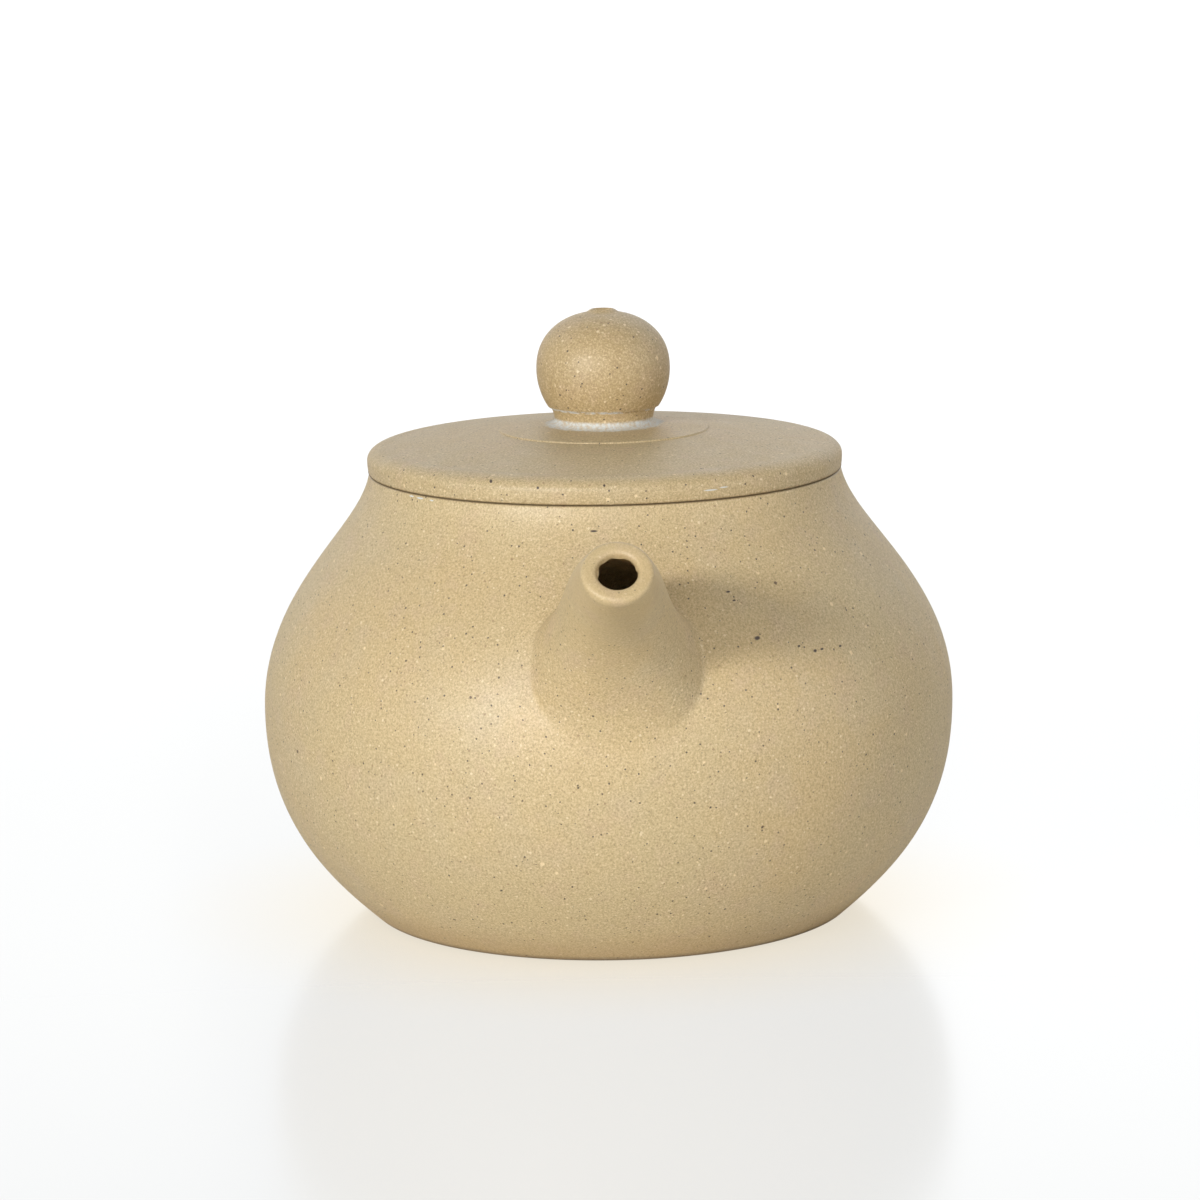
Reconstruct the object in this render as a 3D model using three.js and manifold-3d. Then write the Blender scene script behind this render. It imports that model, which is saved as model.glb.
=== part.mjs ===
// A small round clay teapot with a flat lift-off lid, a ball knob, a short spout and an ear handle.
// Millimetres, +Z up. The origin is on the pot's axis at the table, and the spout points along +X.
import * as THREE from 'three';
import { mergeVertices } from 'three/addons/utils/BufferGeometryUtils.js';
import Module from 'manifold-3d';

const manifold = await Module();
manifold.setup();

// Pot body, outside
const bodyHeight = 57.9;           // table to the seat that the lid rests on
const baseRadius = 31.1;
const baseWallAngle = 41.4;        // degrees above the table at which the wall leaves the base
const baseWallPull = 8.6;          // how far the wall keeps that direction
const bellyRadius = 45;
const bellyRadiusHeight = 27.3;    // height of the widest place
const bellyPullDown = 14.6;
const bellyPullUp = 15.6;
const seatRadius = 30.65;          // outside radius where the body meets the lid
const seatWallAngle = 80.6;        // degrees above the table at which the shoulder reaches the seat
const seatWallPull = 7.95;

// Pot body, walls
const wallThickness = 3;
const baseThickness = 3.2;
const footWidth = 5.6;             // flat ring that the pot stands on
const footRecess = 1.2;            // hollow pressed into the base inside that ring
const footBevel = 1.6;
const mouthRingHeight = 2;
const seatWidth = 4.45;            // flat top of the mouth ring, which leaves the mouth open inside it

// Lid
const lidRimOverhang = 0.2;        // how far the lid's bead stands out past the seat
const lidRimUndercut = 0.1;        // how far the foot of the bead draws in
const lidRimBulgeHeight = 1.65;    // height of the bead's widest place above the seat
const lidRimShoulderWidth = 3;
const lidRimShoulderHeight = 1.8;
const lidRimFullness = 2.2;        // exponent of the shoulder's curve
const lidDomeRise = 1.45;          // from the bead up to the pad
const lidPlateThickness = 2.6;     // at the pad
const lidHollowFillet = 1.4;
const flangeDepth = 7.5;
const flangeThickness = 2.4;
const flangeClearance = 0.4;       // radial play in the mouth
const flangeBevel = 0.7;
const padRadius = 14;
const padEdgeHeight = 0.35;
const padCrown = 0.95;             // from the pad's underside up to the foot of the collar
const collarHeight = 0.7;
const collarFlare = 1.4;

// Knob
const neckRadius = 6.4;
const neckFlare = 0.45;
const neckHeight = 1.6;
const ballStep = 0.3;              // crease where the ball stands out past the neck
const ballBulge = 1.5;             // from that crease out to the ball's widest place
const ballDepthBelow = 8.9;        // half height of the ball's lower ellipse
const ballDepthAbove = 7.35;
const ballFullness = 2.2;          // exponent of the upper half: 2 is an ellipse, more is fuller
const ventRadius = 1.1;
const ventLipWidth = 0.8;
const ventLipHeight = 0.3;

// Spout
const reach = 68;                  // from the axis to the spout's lip and to the handle's back
const spoutTipHeight = 55.2;
const spoutTipAngle = 43.7;        // degrees above the table at which the lip faces
const spoutTipRadius = 4.35;
const spoutBoreTip = 2.4;
const spoutTopStart = { x: 31, z: 46.6 };      // where its top line starts inside the wall
const spoutTopStartPull = 12;
const spoutTopTipAngle = 9;
const spoutTopTipPull = 24;
const spoutUnderStart = { x: 42.3, z: 26 };    // the same for its underside
const spoutUnderStartAngle = 70;
const spoutUnderStartPull = 13.5;
const spoutUnderTipAngle = 23;
const spoutUnderTipPull = 20;
const spoutStartWidth = 14;        // control values of its half width, from the start to the lip
const spoutEarlyWidth = 6.1;
const spoutLateWidth = 8;
const spoutStartWall = 5;          // control values of the clay round the bore
const spoutMiddleWall = 2;

// Strainer
const strainerThickness = 1.6;
const strainerHeight = 38.6;       // middle of the wall's opening
const strainerRadius = 9.4;        // outside of the dome, which covers that opening
const strainerHoleRadius = 0.95;
const strainerRings = [
  { tilt: 0, count: 1 },
  { tilt: 25, count: 6 },
  { tilt: 48, count: 12 },
];

// Handle
const handleTopHeight = 47.5;      // height of the centre line at the upper root
const handleTopAngle = 24;
const handleTopPull = 13;
const handleBackHeight = 38;
const handleBackPullUp = 10.5;
const handleBackPullDown = 10;
const handleFootHeight = 18.5;
const handleFootAngle = 8;
const handleFootPull = 12;
const handleHalfWidth = 4.5;
const handleHalfThickness = 3.2;
const handleFootShrink = 0.84;     // size of the section at the foot over that at the top
const handleFlareRatio = 0.42;
const handleFlareLength = 4.2;

// Fits and facets
const lutingGap = 0.3;             // left between a cut root and the wall that it is fixed to
const rootDepth = 4.5;             // how far the handle starts inside the wall's outside
const cutMargin = 2;               // how far a cutting solid runs past what it cuts
const ringSegments = 60;
const padSegments = 44;
const knobSegments = 32;
const sectionSegments = 20;
const wallSteps = 11;
const handleSteps = 12;            // along each half of the handle
const spoutSteps = 12;

const degrees = THREE.MathUtils.degToRad;
const clay = { color: 0xc8b48e, roughness: 0.72, metalness: 0 };
const smoothClay = { color: 0xc4b089, roughness: 0.66, metalness: 0 };
const innerClay = { color: 0xb8a37c, roughness: 0.85, metalness: 0 };

// Shared vertices are merged and triangles without area dropped, which leaves one closed surface.
function weld(geometry) {
  geometry.deleteAttribute('normal');
  geometry.deleteAttribute('uv');
  const merged = mergeVertices(geometry, 1e-4);
  const old = merged.index.array;
  const kept = [];
  for (let i = 0; i < old.length; i += 3) {
    const [a, b, c] = [old[i], old[i + 1], old[i + 2]];
    if (a !== b && b !== c && c !== a) kept.push(a, b, c);
  }
  merged.setIndex(kept);
  return merged;
}

function toSolid(geometry) {
  const welded = weld(geometry);
  return new manifold.Manifold(new manifold.Mesh({
    numProp: 3,
    vertProperties: new Float32Array(welded.attributes.position.array),
    triVerts: new Uint32Array(welded.index.array),
  }));
}

function toGeometry(solid) {
  const mesh = solid.getMesh();
  const geometry = new THREE.BufferGeometry();
  geometry.setAttribute('position', new THREE.BufferAttribute(mesh.vertProperties, mesh.numProp));
  geometry.setIndex(new THREE.BufferAttribute(mesh.triVerts, 1));
  return geometry;
}

function makeMesh(name, geometry, finish) {
  geometry.computeVertexNormals();
  const mesh = new THREE.Mesh(geometry, new THREE.MeshStandardMaterial(finish));
  mesh.name = name;
  return mesh;
}

// Profile points are (radius, height) and run round the section with the material on their left.
const at = (radius, height) => new THREE.Vector2(radius, height);

function revolve(profile, segments) {
  const turned = new THREE.LatheGeometry(profile, segments);
  turned.rotateX(Math.PI / 2);
  return weld(turned);
}

// Quarter of an ellipse from one point to another; the first direction is upright or level.
function quarterTurn(from, to, startsUpright, steps, fullness = 2) {
  const points = [];
  for (let i = 1; i <= steps; i += 1) {
    const angle = (Math.PI / 2) * (i / steps);
    const late = 1 - Math.cos(angle) ** (2 / fullness);
    const early = Math.sin(angle) ** (2 / fullness);
    const across = startsUpright ? late : early;
    const along = startsUpright ? early : late;
    points.push(at(from.x + (to.x - from.x) * across, from.y + (to.y - from.y) * along));
  }
  points[steps - 1].copy(to);
  return points;
}

// Outside of the body: one curve from the base to the belly and one from there to the seat.
const belly = at(bellyRadius, bellyRadiusHeight);
const lowerWall = new THREE.CubicBezierCurve(
  at(baseRadius, 0),
  at(
    baseRadius + baseWallPull * Math.cos(degrees(baseWallAngle)),
    baseWallPull * Math.sin(degrees(baseWallAngle)),
  ),
  at(bellyRadius, bellyRadiusHeight - bellyPullDown),
  belly,
);
const upperWall = new THREE.CubicBezierCurve(
  belly,
  at(bellyRadius, bellyRadiusHeight + bellyPullUp),
  at(
    seatRadius + seatWallPull * Math.cos(degrees(seatWallAngle)),
    bodyHeight - seatWallPull * Math.sin(degrees(seatWallAngle)),
  ),
  at(seatRadius, bodyHeight),
);

// Point at position u, 0 to 2 from base to seat, moved into the wall by the inset.
function wallPointAt(u, inset) {
  const curve = u < 1 ? lowerWall : upperWall;
  const t = u < 1 ? u : u - 1;
  const point = curve.getPoint(t);
  const tangent = curve.getTangent(t);
  return at(point.x - tangent.y * inset, point.y + tangent.x * inset);
}

// The same surface found by height.
function wallPoint(height, inset = 0) {
  let low = 0;
  let high = 2;
  for (let i = 0; i < 40; i += 1) {
    const middle = (low + high) / 2;
    if (wallPointAt(middle, inset).y < height) low = middle;
    else high = middle;
  }
  return at(wallPointAt((low + high) / 2, inset).x, height);
}

function wallLine(fromHeight, toHeight, steps, inset = 0) {
  const points = [];
  for (let i = 0; i <= steps; i += 1) {
    points.push(wallPoint(THREE.MathUtils.lerp(fromHeight, toHeight, i / steps), inset));
  }
  return points;
}

// The space inside a surface that lies parallel to the wall, used to cut what meets the wall.
function bodyCore(inset) {
  const lowest = wallPointAt(0, inset).y;
  const highest = wallPointAt(2, inset).y;
  const side = wallLine(lowest, highest, wallSteps, inset);
  const profile = [at(0, lowest), ...side, at(0, highest)];
  return toSolid(revolve(profile, ringSegments));
}

// Closed skin over a row of elliptical sections.
// A section has a centre, the two directions of its axes and its half sizes along them.
function loft(sections) {
  const positions = [];
  const index = [];
  for (const section of sections) {
    for (let i = 0; i < sectionSegments; i += 1) {
      const angle = (2 * Math.PI * i) / sectionSegments;
      const point = section.centre.clone()
        .addScaledVector(section.across, section.halfWidth * Math.cos(angle))
        .addScaledVector(section.up, section.halfHeight * Math.sin(angle));
      positions.push(point.x, point.y, point.z);
    }
  }
  for (let row = 0; row < sections.length - 1; row += 1) {
    for (let i = 0; i < sectionSegments; i += 1) {
      const next = (i + 1) % sectionSegments;
      const here = row * sectionSegments;
      const there = here + sectionSegments;
      index.push(here + i, here + next, there + next);
      index.push(here + i, there + next, there + i);
    }
  }
  const last = (sections.length - 1) * sectionSegments;
  for (let i = 1; i < sectionSegments - 1; i += 1) {
    index.push(0, i + 1, i);
    index.push(last, last + i, last + i + 1);
  }
  const geometry = new THREE.BufferGeometry();
  geometry.setAttribute('position', new THREE.Float32BufferAttribute(positions, 3));
  geometry.setIndex(index);
  return geometry;
}

// Sections square to a curve that lies in the X-Z plane.
function sectionOn(point, tangent, halfWidth, halfHeight) {
  return {
    centre: point,
    across: new THREE.Vector3(0, 1, 0),
    up: new THREE.Vector3(-tangent.z, 0, tangent.x),
    halfWidth,
    halfHeight,
  };
}

const inPlane = (x, z) => new THREE.Vector3(x, 0, z);

// A root swells towards the wall that it is luted to.
function rootSwell(distanceFromWall, amount, length) {
  return 1 + amount * Math.exp(-Math.max(distanceFromWall, 0) / length);
}

// Base disc: its edge is the lowest part of the wall's outside, and it stands on a flat ring.
function makeBaseDisc() {
  const ringInside = baseRadius - footWidth;
  const profile = [
    at(0, footRecess),
    at(ringInside - footBevel, footRecess),
    at(ringInside, 0),
    ...wallLine(0, baseThickness, 2),
    at(0, baseThickness),
  ];
  return makeMesh('base_disc', revolve(profile, ringSegments), clay);
}

// Mouth ring: closes the shoulder, and its flat top is the seat for the lid.
const mouthRingFoot = bodyHeight - mouthRingHeight;
const mouthRadius = seatRadius - seatWidth;

function makeMouthRing() {
  const profile = [
    at(mouthRadius, mouthRingFoot),
    ...wallLine(mouthRingFoot, bodyHeight, 1),
    at(mouthRadius, bodyHeight),
    at(mouthRadius, mouthRingFoot),
  ];
  return makeMesh('mouth_ring', revolve(profile, ringSegments), clay);
}

// Spout: its sections span from an underside line up to a top line, and both lines run from
// inside the wall out to the circle at the middle of the rounded lip.
const lipRounding = (spoutTipRadius - spoutBoreTip) / 2;
const lipRadius = spoutTipRadius - lipRounding;
const lipFacing = inPlane(Math.cos(degrees(spoutTipAngle)), Math.sin(degrees(spoutTipAngle)));
const lipUp = inPlane(-lipFacing.z, lipFacing.x);
const lipCentre = inPlane(reach - lipRounding - lipRadius * lipFacing.z, spoutTipHeight);

function spoutLine(start, startAngle, startPull, end, endAngle, endPull) {
  const from = inPlane(start.x, start.z);
  const leaving = inPlane(Math.cos(degrees(startAngle)), Math.sin(degrees(startAngle)));
  const arriving = inPlane(Math.cos(degrees(endAngle)), Math.sin(degrees(endAngle)));
  return new THREE.CubicBezierCurve3(
    from,
    from.clone().addScaledVector(leaving, startPull),
    end.clone().addScaledVector(arriving, -endPull),
    end,
  );
}

const spoutTop = spoutLine(
  spoutTopStart,
  0,
  spoutTopStartPull,
  lipCentre.clone().addScaledVector(lipUp, spoutTipRadius),
  spoutTopTipAngle,
  spoutTopTipPull,
);
const spoutUnder = spoutLine(
  spoutUnderStart,
  spoutUnderStartAngle,
  spoutUnderStartPull,
  lipCentre.clone().addScaledVector(lipUp, -spoutTipRadius),
  spoutUnderTipAngle,
  spoutUnderTipPull,
);

// Section at t, 0 at the start and 1 at the lip, drawn in on all sides by the inset.
function spoutSection(t, inset) {
  const top = spoutTop.getPoint(t);
  const under = spoutUnder.getPoint(t);
  const s = 1 - t;
  const halfWidth = s ** 3 * spoutStartWidth + 3 * s ** 2 * t * spoutEarlyWidth
    + 3 * s * t ** 2 * spoutLateWidth + t ** 3 * spoutTipRadius;
  return {
    centre: top.clone().add(under).divideScalar(2),
    across: new THREE.Vector3(0, 1, 0),
    up: top.clone().sub(under).normalize(),
    halfWidth: halfWidth - inset,
    halfHeight: top.distanceTo(under) / 2 - inset,
  };
}

function lipSection(radius, ahead) {
  return {
    centre: lipCentre.clone().addScaledVector(lipFacing, ahead),
    across: new THREE.Vector3(0, 1, 0),
    up: lipUp,
    halfWidth: radius,
    halfHeight: radius,
  };
}

function spoutOutside() {
  const sections = [];
  for (let i = 0; i < spoutSteps; i += 1) {
    sections.push(spoutSection(i / spoutSteps, 0));
  }
  for (const turn of [0, 35, 65, 90]) {
    const ahead = lipRounding * Math.sin(degrees(turn));
    sections.push(lipSection(lipRadius + lipRounding * Math.cos(degrees(turn)), ahead));
  }
  return toSolid(loft(sections));
}

function spoutBore() {
  const tipWall = spoutTipRadius - spoutBoreTip;
  const sections = [];
  for (let i = 0; i < spoutSteps; i += 1) {
    const t = i / spoutSteps;
    const wall = (1 - t) ** 2 * spoutStartWall + 2 * t * (1 - t) * spoutMiddleWall + t ** 2 * tipWall;
    sections.push(spoutSection(t, wall));
  }
  for (const turn of [0, 35, 65]) {
    const ahead = lipRounding * Math.sin(degrees(turn));
    sections.push(lipSection(lipRadius - lipRounding * Math.cos(degrees(turn)), ahead));
  }
  sections.push(lipSection(lipRadius, lipRounding));
  sections.push(lipSection(lipRadius, lipRounding + cutMargin));
  return toSolid(loft(sections));
}

function makeSpout() {
  const spout = spoutOutside().subtract(spoutBore()).subtract(bodyCore(-lutingGap));
  return makeMesh('spout', toGeometry(spout), smoothClay);
}

// Body wall: a shell of even thickness between the base disc and the mouth ring,
// opened where the spout's bore passes through it.
function makeBodyWall() {
  const profile = [
    ...wallLine(baseThickness, mouthRingFoot, wallSteps),
    ...wallLine(mouthRingFoot, baseThickness, wallSteps, wallThickness),
    wallPoint(baseThickness),
  ];
  const wall = toSolid(revolve(profile, ringSegments)).subtract(spoutBore());
  return makeMesh('body_wall', toGeometry(wall), clay);
}

// Strainer: a pierced dome over the inside of the wall's opening.
function strainerHole(centre, direction) {
  const length = strainerThickness + 2 * cutMargin;
  const drill = new THREE.CylinderGeometry(strainerHoleRadius, strainerHoleRadius, length, 6);
  const turn = new THREE.Quaternion().setFromUnitVectors(new THREE.Vector3(0, 1, 0), direction);
  drill.applyQuaternion(turn);
  const depth = strainerRadius - strainerThickness / 2;
  const place = centre.clone().addScaledVector(direction, depth);
  drill.translate(place.x, place.y, place.z);
  return toSolid(drill);
}

function makeStrainer() {
  const inside = wallPoint(strainerHeight, wallThickness);
  const centre = inPlane(inside.x + strainerThickness, strainerHeight);
  const ball = (radius) => {
    const sphere = new THREE.SphereGeometry(radius, sectionSegments, sectionSegments / 2);
    sphere.rotateZ(Math.PI / 2);
    sphere.translate(centre.x, centre.y, centre.z);
    return toSolid(sphere);
  };
  let dome = ball(strainerRadius).subtract(ball(strainerRadius - strainerThickness));
  dome = dome.intersect(bodyCore(wallThickness + lutingGap));
  for (const ring of strainerRings) {
    for (let i = 0; i < ring.count; i += 1) {
      const tilt = degrees(ring.tilt);
      const round = (2 * Math.PI * i) / ring.count;
      const direction = new THREE.Vector3(
        -Math.cos(tilt),
        Math.sin(tilt) * Math.cos(round),
        Math.sin(tilt) * Math.sin(round),
      );
      dome = dome.subtract(strainerHole(centre, direction));
    }
  }
  return makeMesh('strainer', toGeometry(dome), innerClay);
}

// Handle: an ear-shaped loop whose section tapers towards its foot and swells at both roots.
const handleTop = inPlane(rootDepth - wallPoint(handleTopHeight).x, handleTopHeight);
const handleFoot = inPlane(rootDepth - wallPoint(handleFootHeight).x, handleFootHeight);
const handleMiddleSize = (1 + handleFootShrink) / 2;
const handleBack = inPlane(handleHalfThickness * handleMiddleSize - reach, handleBackHeight);
const handleUpperHalf = new THREE.CubicBezierCurve3(
  handleTop,
  inPlane(
    handleTop.x - handleTopPull * Math.cos(degrees(handleTopAngle)),
    handleTop.z + handleTopPull * Math.sin(degrees(handleTopAngle)),
  ),
  inPlane(handleBack.x, handleBack.z + handleBackPullUp),
  handleBack,
);
const handleLowerHalf = new THREE.CubicBezierCurve3(
  handleBack,
  inPlane(handleBack.x, handleBack.z - handleBackPullDown),
  inPlane(
    handleFoot.x - handleFootPull * Math.cos(degrees(handleFootAngle)),
    handleFoot.z - handleFootPull * Math.sin(degrees(handleFootAngle)),
  ),
  handleFoot,
);

function handleSection(half, along, fromRoot, size) {
  const swell = rootSwell(fromRoot * half.getLength() - rootDepth, handleFlareRatio, handleFlareLength);
  return sectionOn(
    half.getPointAt(along),
    half.getTangentAt(along),
    handleHalfWidth * size * swell,
    handleHalfThickness * size * swell,
  );
}

function makeHandle() {
  const sections = [];
  for (let i = 0; i < handleSteps; i += 1) {
    const along = i / handleSteps;
    const size = THREE.MathUtils.lerp(1, handleMiddleSize, along);
    sections.push(handleSection(handleUpperHalf, along, along, size));
  }
  for (let i = 0; i <= handleSteps; i += 1) {
    const along = i / handleSteps;
    const size = THREE.MathUtils.lerp(handleMiddleSize, handleFootShrink, along);
    sections.push(handleSection(handleLowerHalf, along, 1 - along, size));
  }
  const handle = toSolid(loft(sections)).subtract(bodyCore(-lutingGap));
  return makeMesh('handle', toGeometry(handle), clay);
}

// Lid heights, from the seat upwards
const lidRimTop = bodyHeight + lidRimBulgeHeight + lidRimShoulderHeight;
const padFoot = lidRimTop + lidDomeRise;
const padEdgeTop = padFoot + padEdgeHeight;
const collarFoot = padFoot + padCrown;
const collarTop = collarFoot + collarHeight;
const flangeOutside = mouthRadius - flangeClearance;
const flangeInside = flangeOutside - flangeThickness;

// Lid plate: a rounded bead over the seat, a low dome up to the pad, and a hollow underneath.
function makeLidPlate() {
  const rim = seatRadius + lidRimOverhang;
  const rimFoot = at(seatRadius - lidRimUndercut, bodyHeight);
  const rimBulge = at(rim, bodyHeight + lidRimBulgeHeight);
  const rimInner = at(rim - lidRimShoulderWidth, lidRimTop);
  const hollowTop = padFoot - lidPlateThickness;
  const hollowEdge = at(flangeInside - lidHollowFillet, hollowTop);
  const dome = [1 / 3, 2 / 3].map((t) => {
    const radius = THREE.MathUtils.lerp(rimInner.x, padRadius, t);
    const bow = (rimInner.x ** 2 - radius ** 2) / (rimInner.x ** 2 - padRadius ** 2);
    return at(radius, lidRimTop + lidDomeRise * bow);
  });
  const profile = [
    at(ventRadius, hollowTop),
    hollowEdge,
    ...quarterTurn(hollowEdge, at(flangeInside, bodyHeight), false, 2),
    rimFoot,
    ...quarterTurn(rimFoot, rimBulge, false, 2),
    ...quarterTurn(rimBulge, rimInner, true, 4, lidRimFullness),
    ...dome,
    at(padRadius, padFoot),
    at(ventRadius, padFoot),
    at(ventRadius, hollowTop),
  ];
  return makeMesh('lid_plate', revolve(profile, ringSegments), clay);
}

// Lid flange: the ring under the lid that drops into the mouth.
function makeLidFlange() {
  const foot = bodyHeight - flangeDepth;
  const profile = [
    at(flangeInside, foot + flangeBevel),
    at(flangeInside + flangeBevel, foot),
    at(flangeOutside - flangeBevel, foot),
    at(flangeOutside, foot + flangeBevel),
    at(flangeOutside, bodyHeight),
    at(flangeInside, bodyHeight),
    at(flangeInside, foot + flangeBevel),
  ];
  return makeMesh('lid_flange', revolve(profile, ringSegments), clay);
}

// Knob pad: a thin raised disc with a small collar that carries the knob.
function makeKnobPad() {
  const collarInner = at(neckRadius, collarTop);
  const collarOuter = at(neckRadius + collarFlare, collarFoot);
  const crown = [0.35, 0.7].map((t) => {
    const radius = THREE.MathUtils.lerp(padRadius, collarOuter.x, t);
    return at(radius, THREE.MathUtils.lerp(padEdgeTop, collarFoot, Math.sin((t * Math.PI) / 2)));
  });
  const profile = [
    at(ventRadius, padFoot),
    at(padRadius, padFoot),
    at(padRadius - padEdgeHeight / 2, padEdgeTop),
    ...crown,
    collarOuter,
    ...quarterTurn(collarOuter, collarInner, false, 3),
    at(ventRadius, collarTop),
    at(ventRadius, padFoot),
  ];
  return makeMesh('knob_pad', revolve(profile, padSegments), clay);
}

// Knob: a short flared neck, a crease, and a ball that is fuller above than below.
function makeKnob() {
  const neckTop = at(neckRadius + neckFlare, collarTop + neckHeight);
  const creaseRadius = neckTop.x + ballStep;
  const ballRadius = creaseRadius + ballBulge;
  const creaseDrop = ballDepthBelow * Math.sqrt(1 - (creaseRadius / ballRadius) ** 2);
  const ballMiddle = neckTop.y + creaseDrop;
  const ballTop = ballMiddle + ballDepthAbove;
  const ventLip = ventRadius + ventLipWidth;
  const lowerBall = [0, 0.2, 0.4, 0.6, 0.8, 1].map((t) => {
    const drop = creaseDrop * (1 - t);
    return at(ballRadius * Math.sqrt(1 - (drop / ballDepthBelow) ** 2), ballMiddle - drop);
  });
  const upperBall = quarterTurn(at(ballRadius, ballMiddle), at(0, ballTop), true, 9, ballFullness);
  const profile = [
    at(ventRadius, collarTop),
    at(neckRadius, collarTop),
    at(neckRadius + neckFlare * 0.3, collarTop + neckHeight * 0.6),
    neckTop,
    ...lowerBall,
    ...upperBall.filter((point) => point.x > ventLip),
    at(ventLip, ballTop),
    at(ventRadius + ventLipWidth / 2, ballTop + ventLipHeight),
    at(ventRadius, ballTop),
    at(ventRadius, collarTop),
  ];
  return makeMesh('knob', revolve(profile, knobSegments), clay);
}

const pot = new THREE.Group();
pot.add(
  makeBaseDisc(),
  makeBodyWall(),
  makeMouthRing(),
  makeSpout(),
  makeStrainer(),
  makeHandle(),
);

const lid = new THREE.Group();
lid.add(
  makeLidPlate(),
  makeLidFlange(),
  makeKnobPad(),
  makeKnob(),
);

const teapot = new THREE.Group();
teapot.add(pot, lid);

export default teapot;
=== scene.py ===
import math
from collections import namedtuple

import bmesh
import bpy
import numpy as np
from mathutils import Matrix, Vector, noise


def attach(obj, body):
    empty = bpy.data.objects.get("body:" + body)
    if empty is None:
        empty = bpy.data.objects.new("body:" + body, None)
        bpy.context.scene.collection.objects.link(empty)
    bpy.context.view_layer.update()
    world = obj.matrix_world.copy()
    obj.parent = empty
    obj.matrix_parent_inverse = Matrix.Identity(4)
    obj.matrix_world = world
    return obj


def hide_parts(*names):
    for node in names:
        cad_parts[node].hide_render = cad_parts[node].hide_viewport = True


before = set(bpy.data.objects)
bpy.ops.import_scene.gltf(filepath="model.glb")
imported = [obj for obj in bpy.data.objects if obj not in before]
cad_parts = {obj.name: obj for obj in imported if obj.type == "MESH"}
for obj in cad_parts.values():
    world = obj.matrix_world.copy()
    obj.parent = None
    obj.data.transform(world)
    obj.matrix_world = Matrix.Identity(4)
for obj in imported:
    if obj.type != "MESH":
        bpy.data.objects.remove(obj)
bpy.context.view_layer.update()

# Sizes are in millimetres, as in the construction, and become metres when a mesh is made.
MM = 0.001

# Pot body
BODY_HEIGHT = 57.9
BASE_RADIUS = 31.1
BASE_WALL_ANGLE = math.radians(41.4)
BASE_WALL_PULL = 8.6
BELLY_RADIUS = 45.0
BELLY_HEIGHT = 27.3
BELLY_PULL_DOWN = 14.6
BELLY_PULL_UP = 15.6
SEAT_RADIUS = 30.65
SEAT_WALL_ANGLE = math.radians(80.6)
SEAT_WALL_PULL = 7.95
WALL = 3.0
BASE_THICKNESS = 3.2
FOOT_WIDTH = 5.6
FOOT_RECESS = 1.2
MOUTH_RING_HEIGHT = 2.0
SEAT_WIDTH = 4.45
MOUTH_RADIUS = SEAT_RADIUS - SEAT_WIDTH
MOUTH_RING_FOOT = BODY_HEIGHT - MOUTH_RING_HEIGHT

# Lid
RIM_RADIUS = SEAT_RADIUS + 0.2
RIM_BULGE_HEIGHT = BODY_HEIGHT + 1.65
RIM_SHOULDER_WIDTH = 3.0
RIM_TOP = RIM_BULGE_HEIGHT + 1.8
RIM_FULLNESS = 2.2
PAD_FOOT = RIM_TOP + 1.7
PAD_RADIUS = 13.6
PAD_EDGE_TOP = PAD_FOOT + 0.18
LID_THICKNESS = 2.6
FLANGE_DEPTH = 7.5
FLANGE_OUTSIDE = MOUTH_RADIUS - 0.4
FLANGE_INSIDE = FLANGE_OUTSIDE - 2.4
COLLAR_FOOT = PAD_FOOT + 0.7
COLLAR_TOP = COLLAR_FOOT + 0.7
COLLAR_FLARE = 1.4

# Knob
NECK_RADIUS = 6.4
NECK_FLARE = 0.45
NECK_TOP = COLLAR_TOP + 1.6
CREASE_RADIUS = NECK_RADIUS + NECK_FLARE + 0.3
BALL_RADIUS = CREASE_RADIUS + 1.5
BALL_DEPTH_BELOW = 8.9
BALL_DEPTH_ABOVE = 7.35
BALL_FULLNESS = 2.2
BALL_MIDDLE = NECK_TOP + BALL_DEPTH_BELOW * math.sqrt(1 - (CREASE_RADIUS / BALL_RADIUS) ** 2)
BALL_TOP = BALL_MIDDLE + BALL_DEPTH_ABOVE
VENT_RADIUS = 1.1
VENT_LIP_WIDTH = 0.8
VENT_LIP_HEIGHT = 0.3

# Spout: it spans from an underside line up to a top line, both given by their start and lip.
# Widths and walls are the control values of curves from its start to its lip.
REACH = 68.0
SPOUT_TIP_HEIGHT = 55.2
SPOUT_TIP_ANGLE = math.radians(43.7)
SPOUT_TIP_RADIUS = 4.35
SPOUT_BORE_TIP = 2.4
SPOUT_TOP_START = (31.0, 46.6)
SPOUT_TOP_START_ANGLE = math.radians(0)
SPOUT_TOP_START_PULL = 12.0
SPOUT_TOP_TIP_ANGLE = math.radians(9)
SPOUT_TOP_TIP_PULL = 24.0
SPOUT_UNDER_START = (42.3, 26.0)
SPOUT_UNDER_START_ANGLE = math.radians(70)
SPOUT_UNDER_START_PULL = 13.5
SPOUT_UNDER_TIP_ANGLE = math.radians(23)
SPOUT_UNDER_TIP_PULL = 20.0
SPOUT_WIDTHS = (13.5, 10.0, 6.9, 6.65, 6.05, SPOUT_TIP_RADIUS)
SPOUT_WALLS = (5.0, 2.0, SPOUT_TIP_RADIUS - SPOUT_BORE_TIP)
SPOUT_ROOT_FULLNESS = 2.6      # squareness of the section at the root: 2 is an ellipse
SPOUT_ROOT_SHIFT = 0.3         # sideways, as the spout was set a little off the middle
SPOUT_ROOT_FILLET = 0.55
SPOUT_ROOT_RUN_OUT = 7.0       # how much wider that fillet is straight below the spout
SPOUT_CREASE_TURN = -36        # degrees round the root at which its fillet is sharpest
SPOUT_CREASE_SPREAD = 15
SPOUT_CREASE_SHARE = 0.4
BORE_START = 0.15              # place along the spout, from 0 at its start to 1 at its lip
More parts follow.
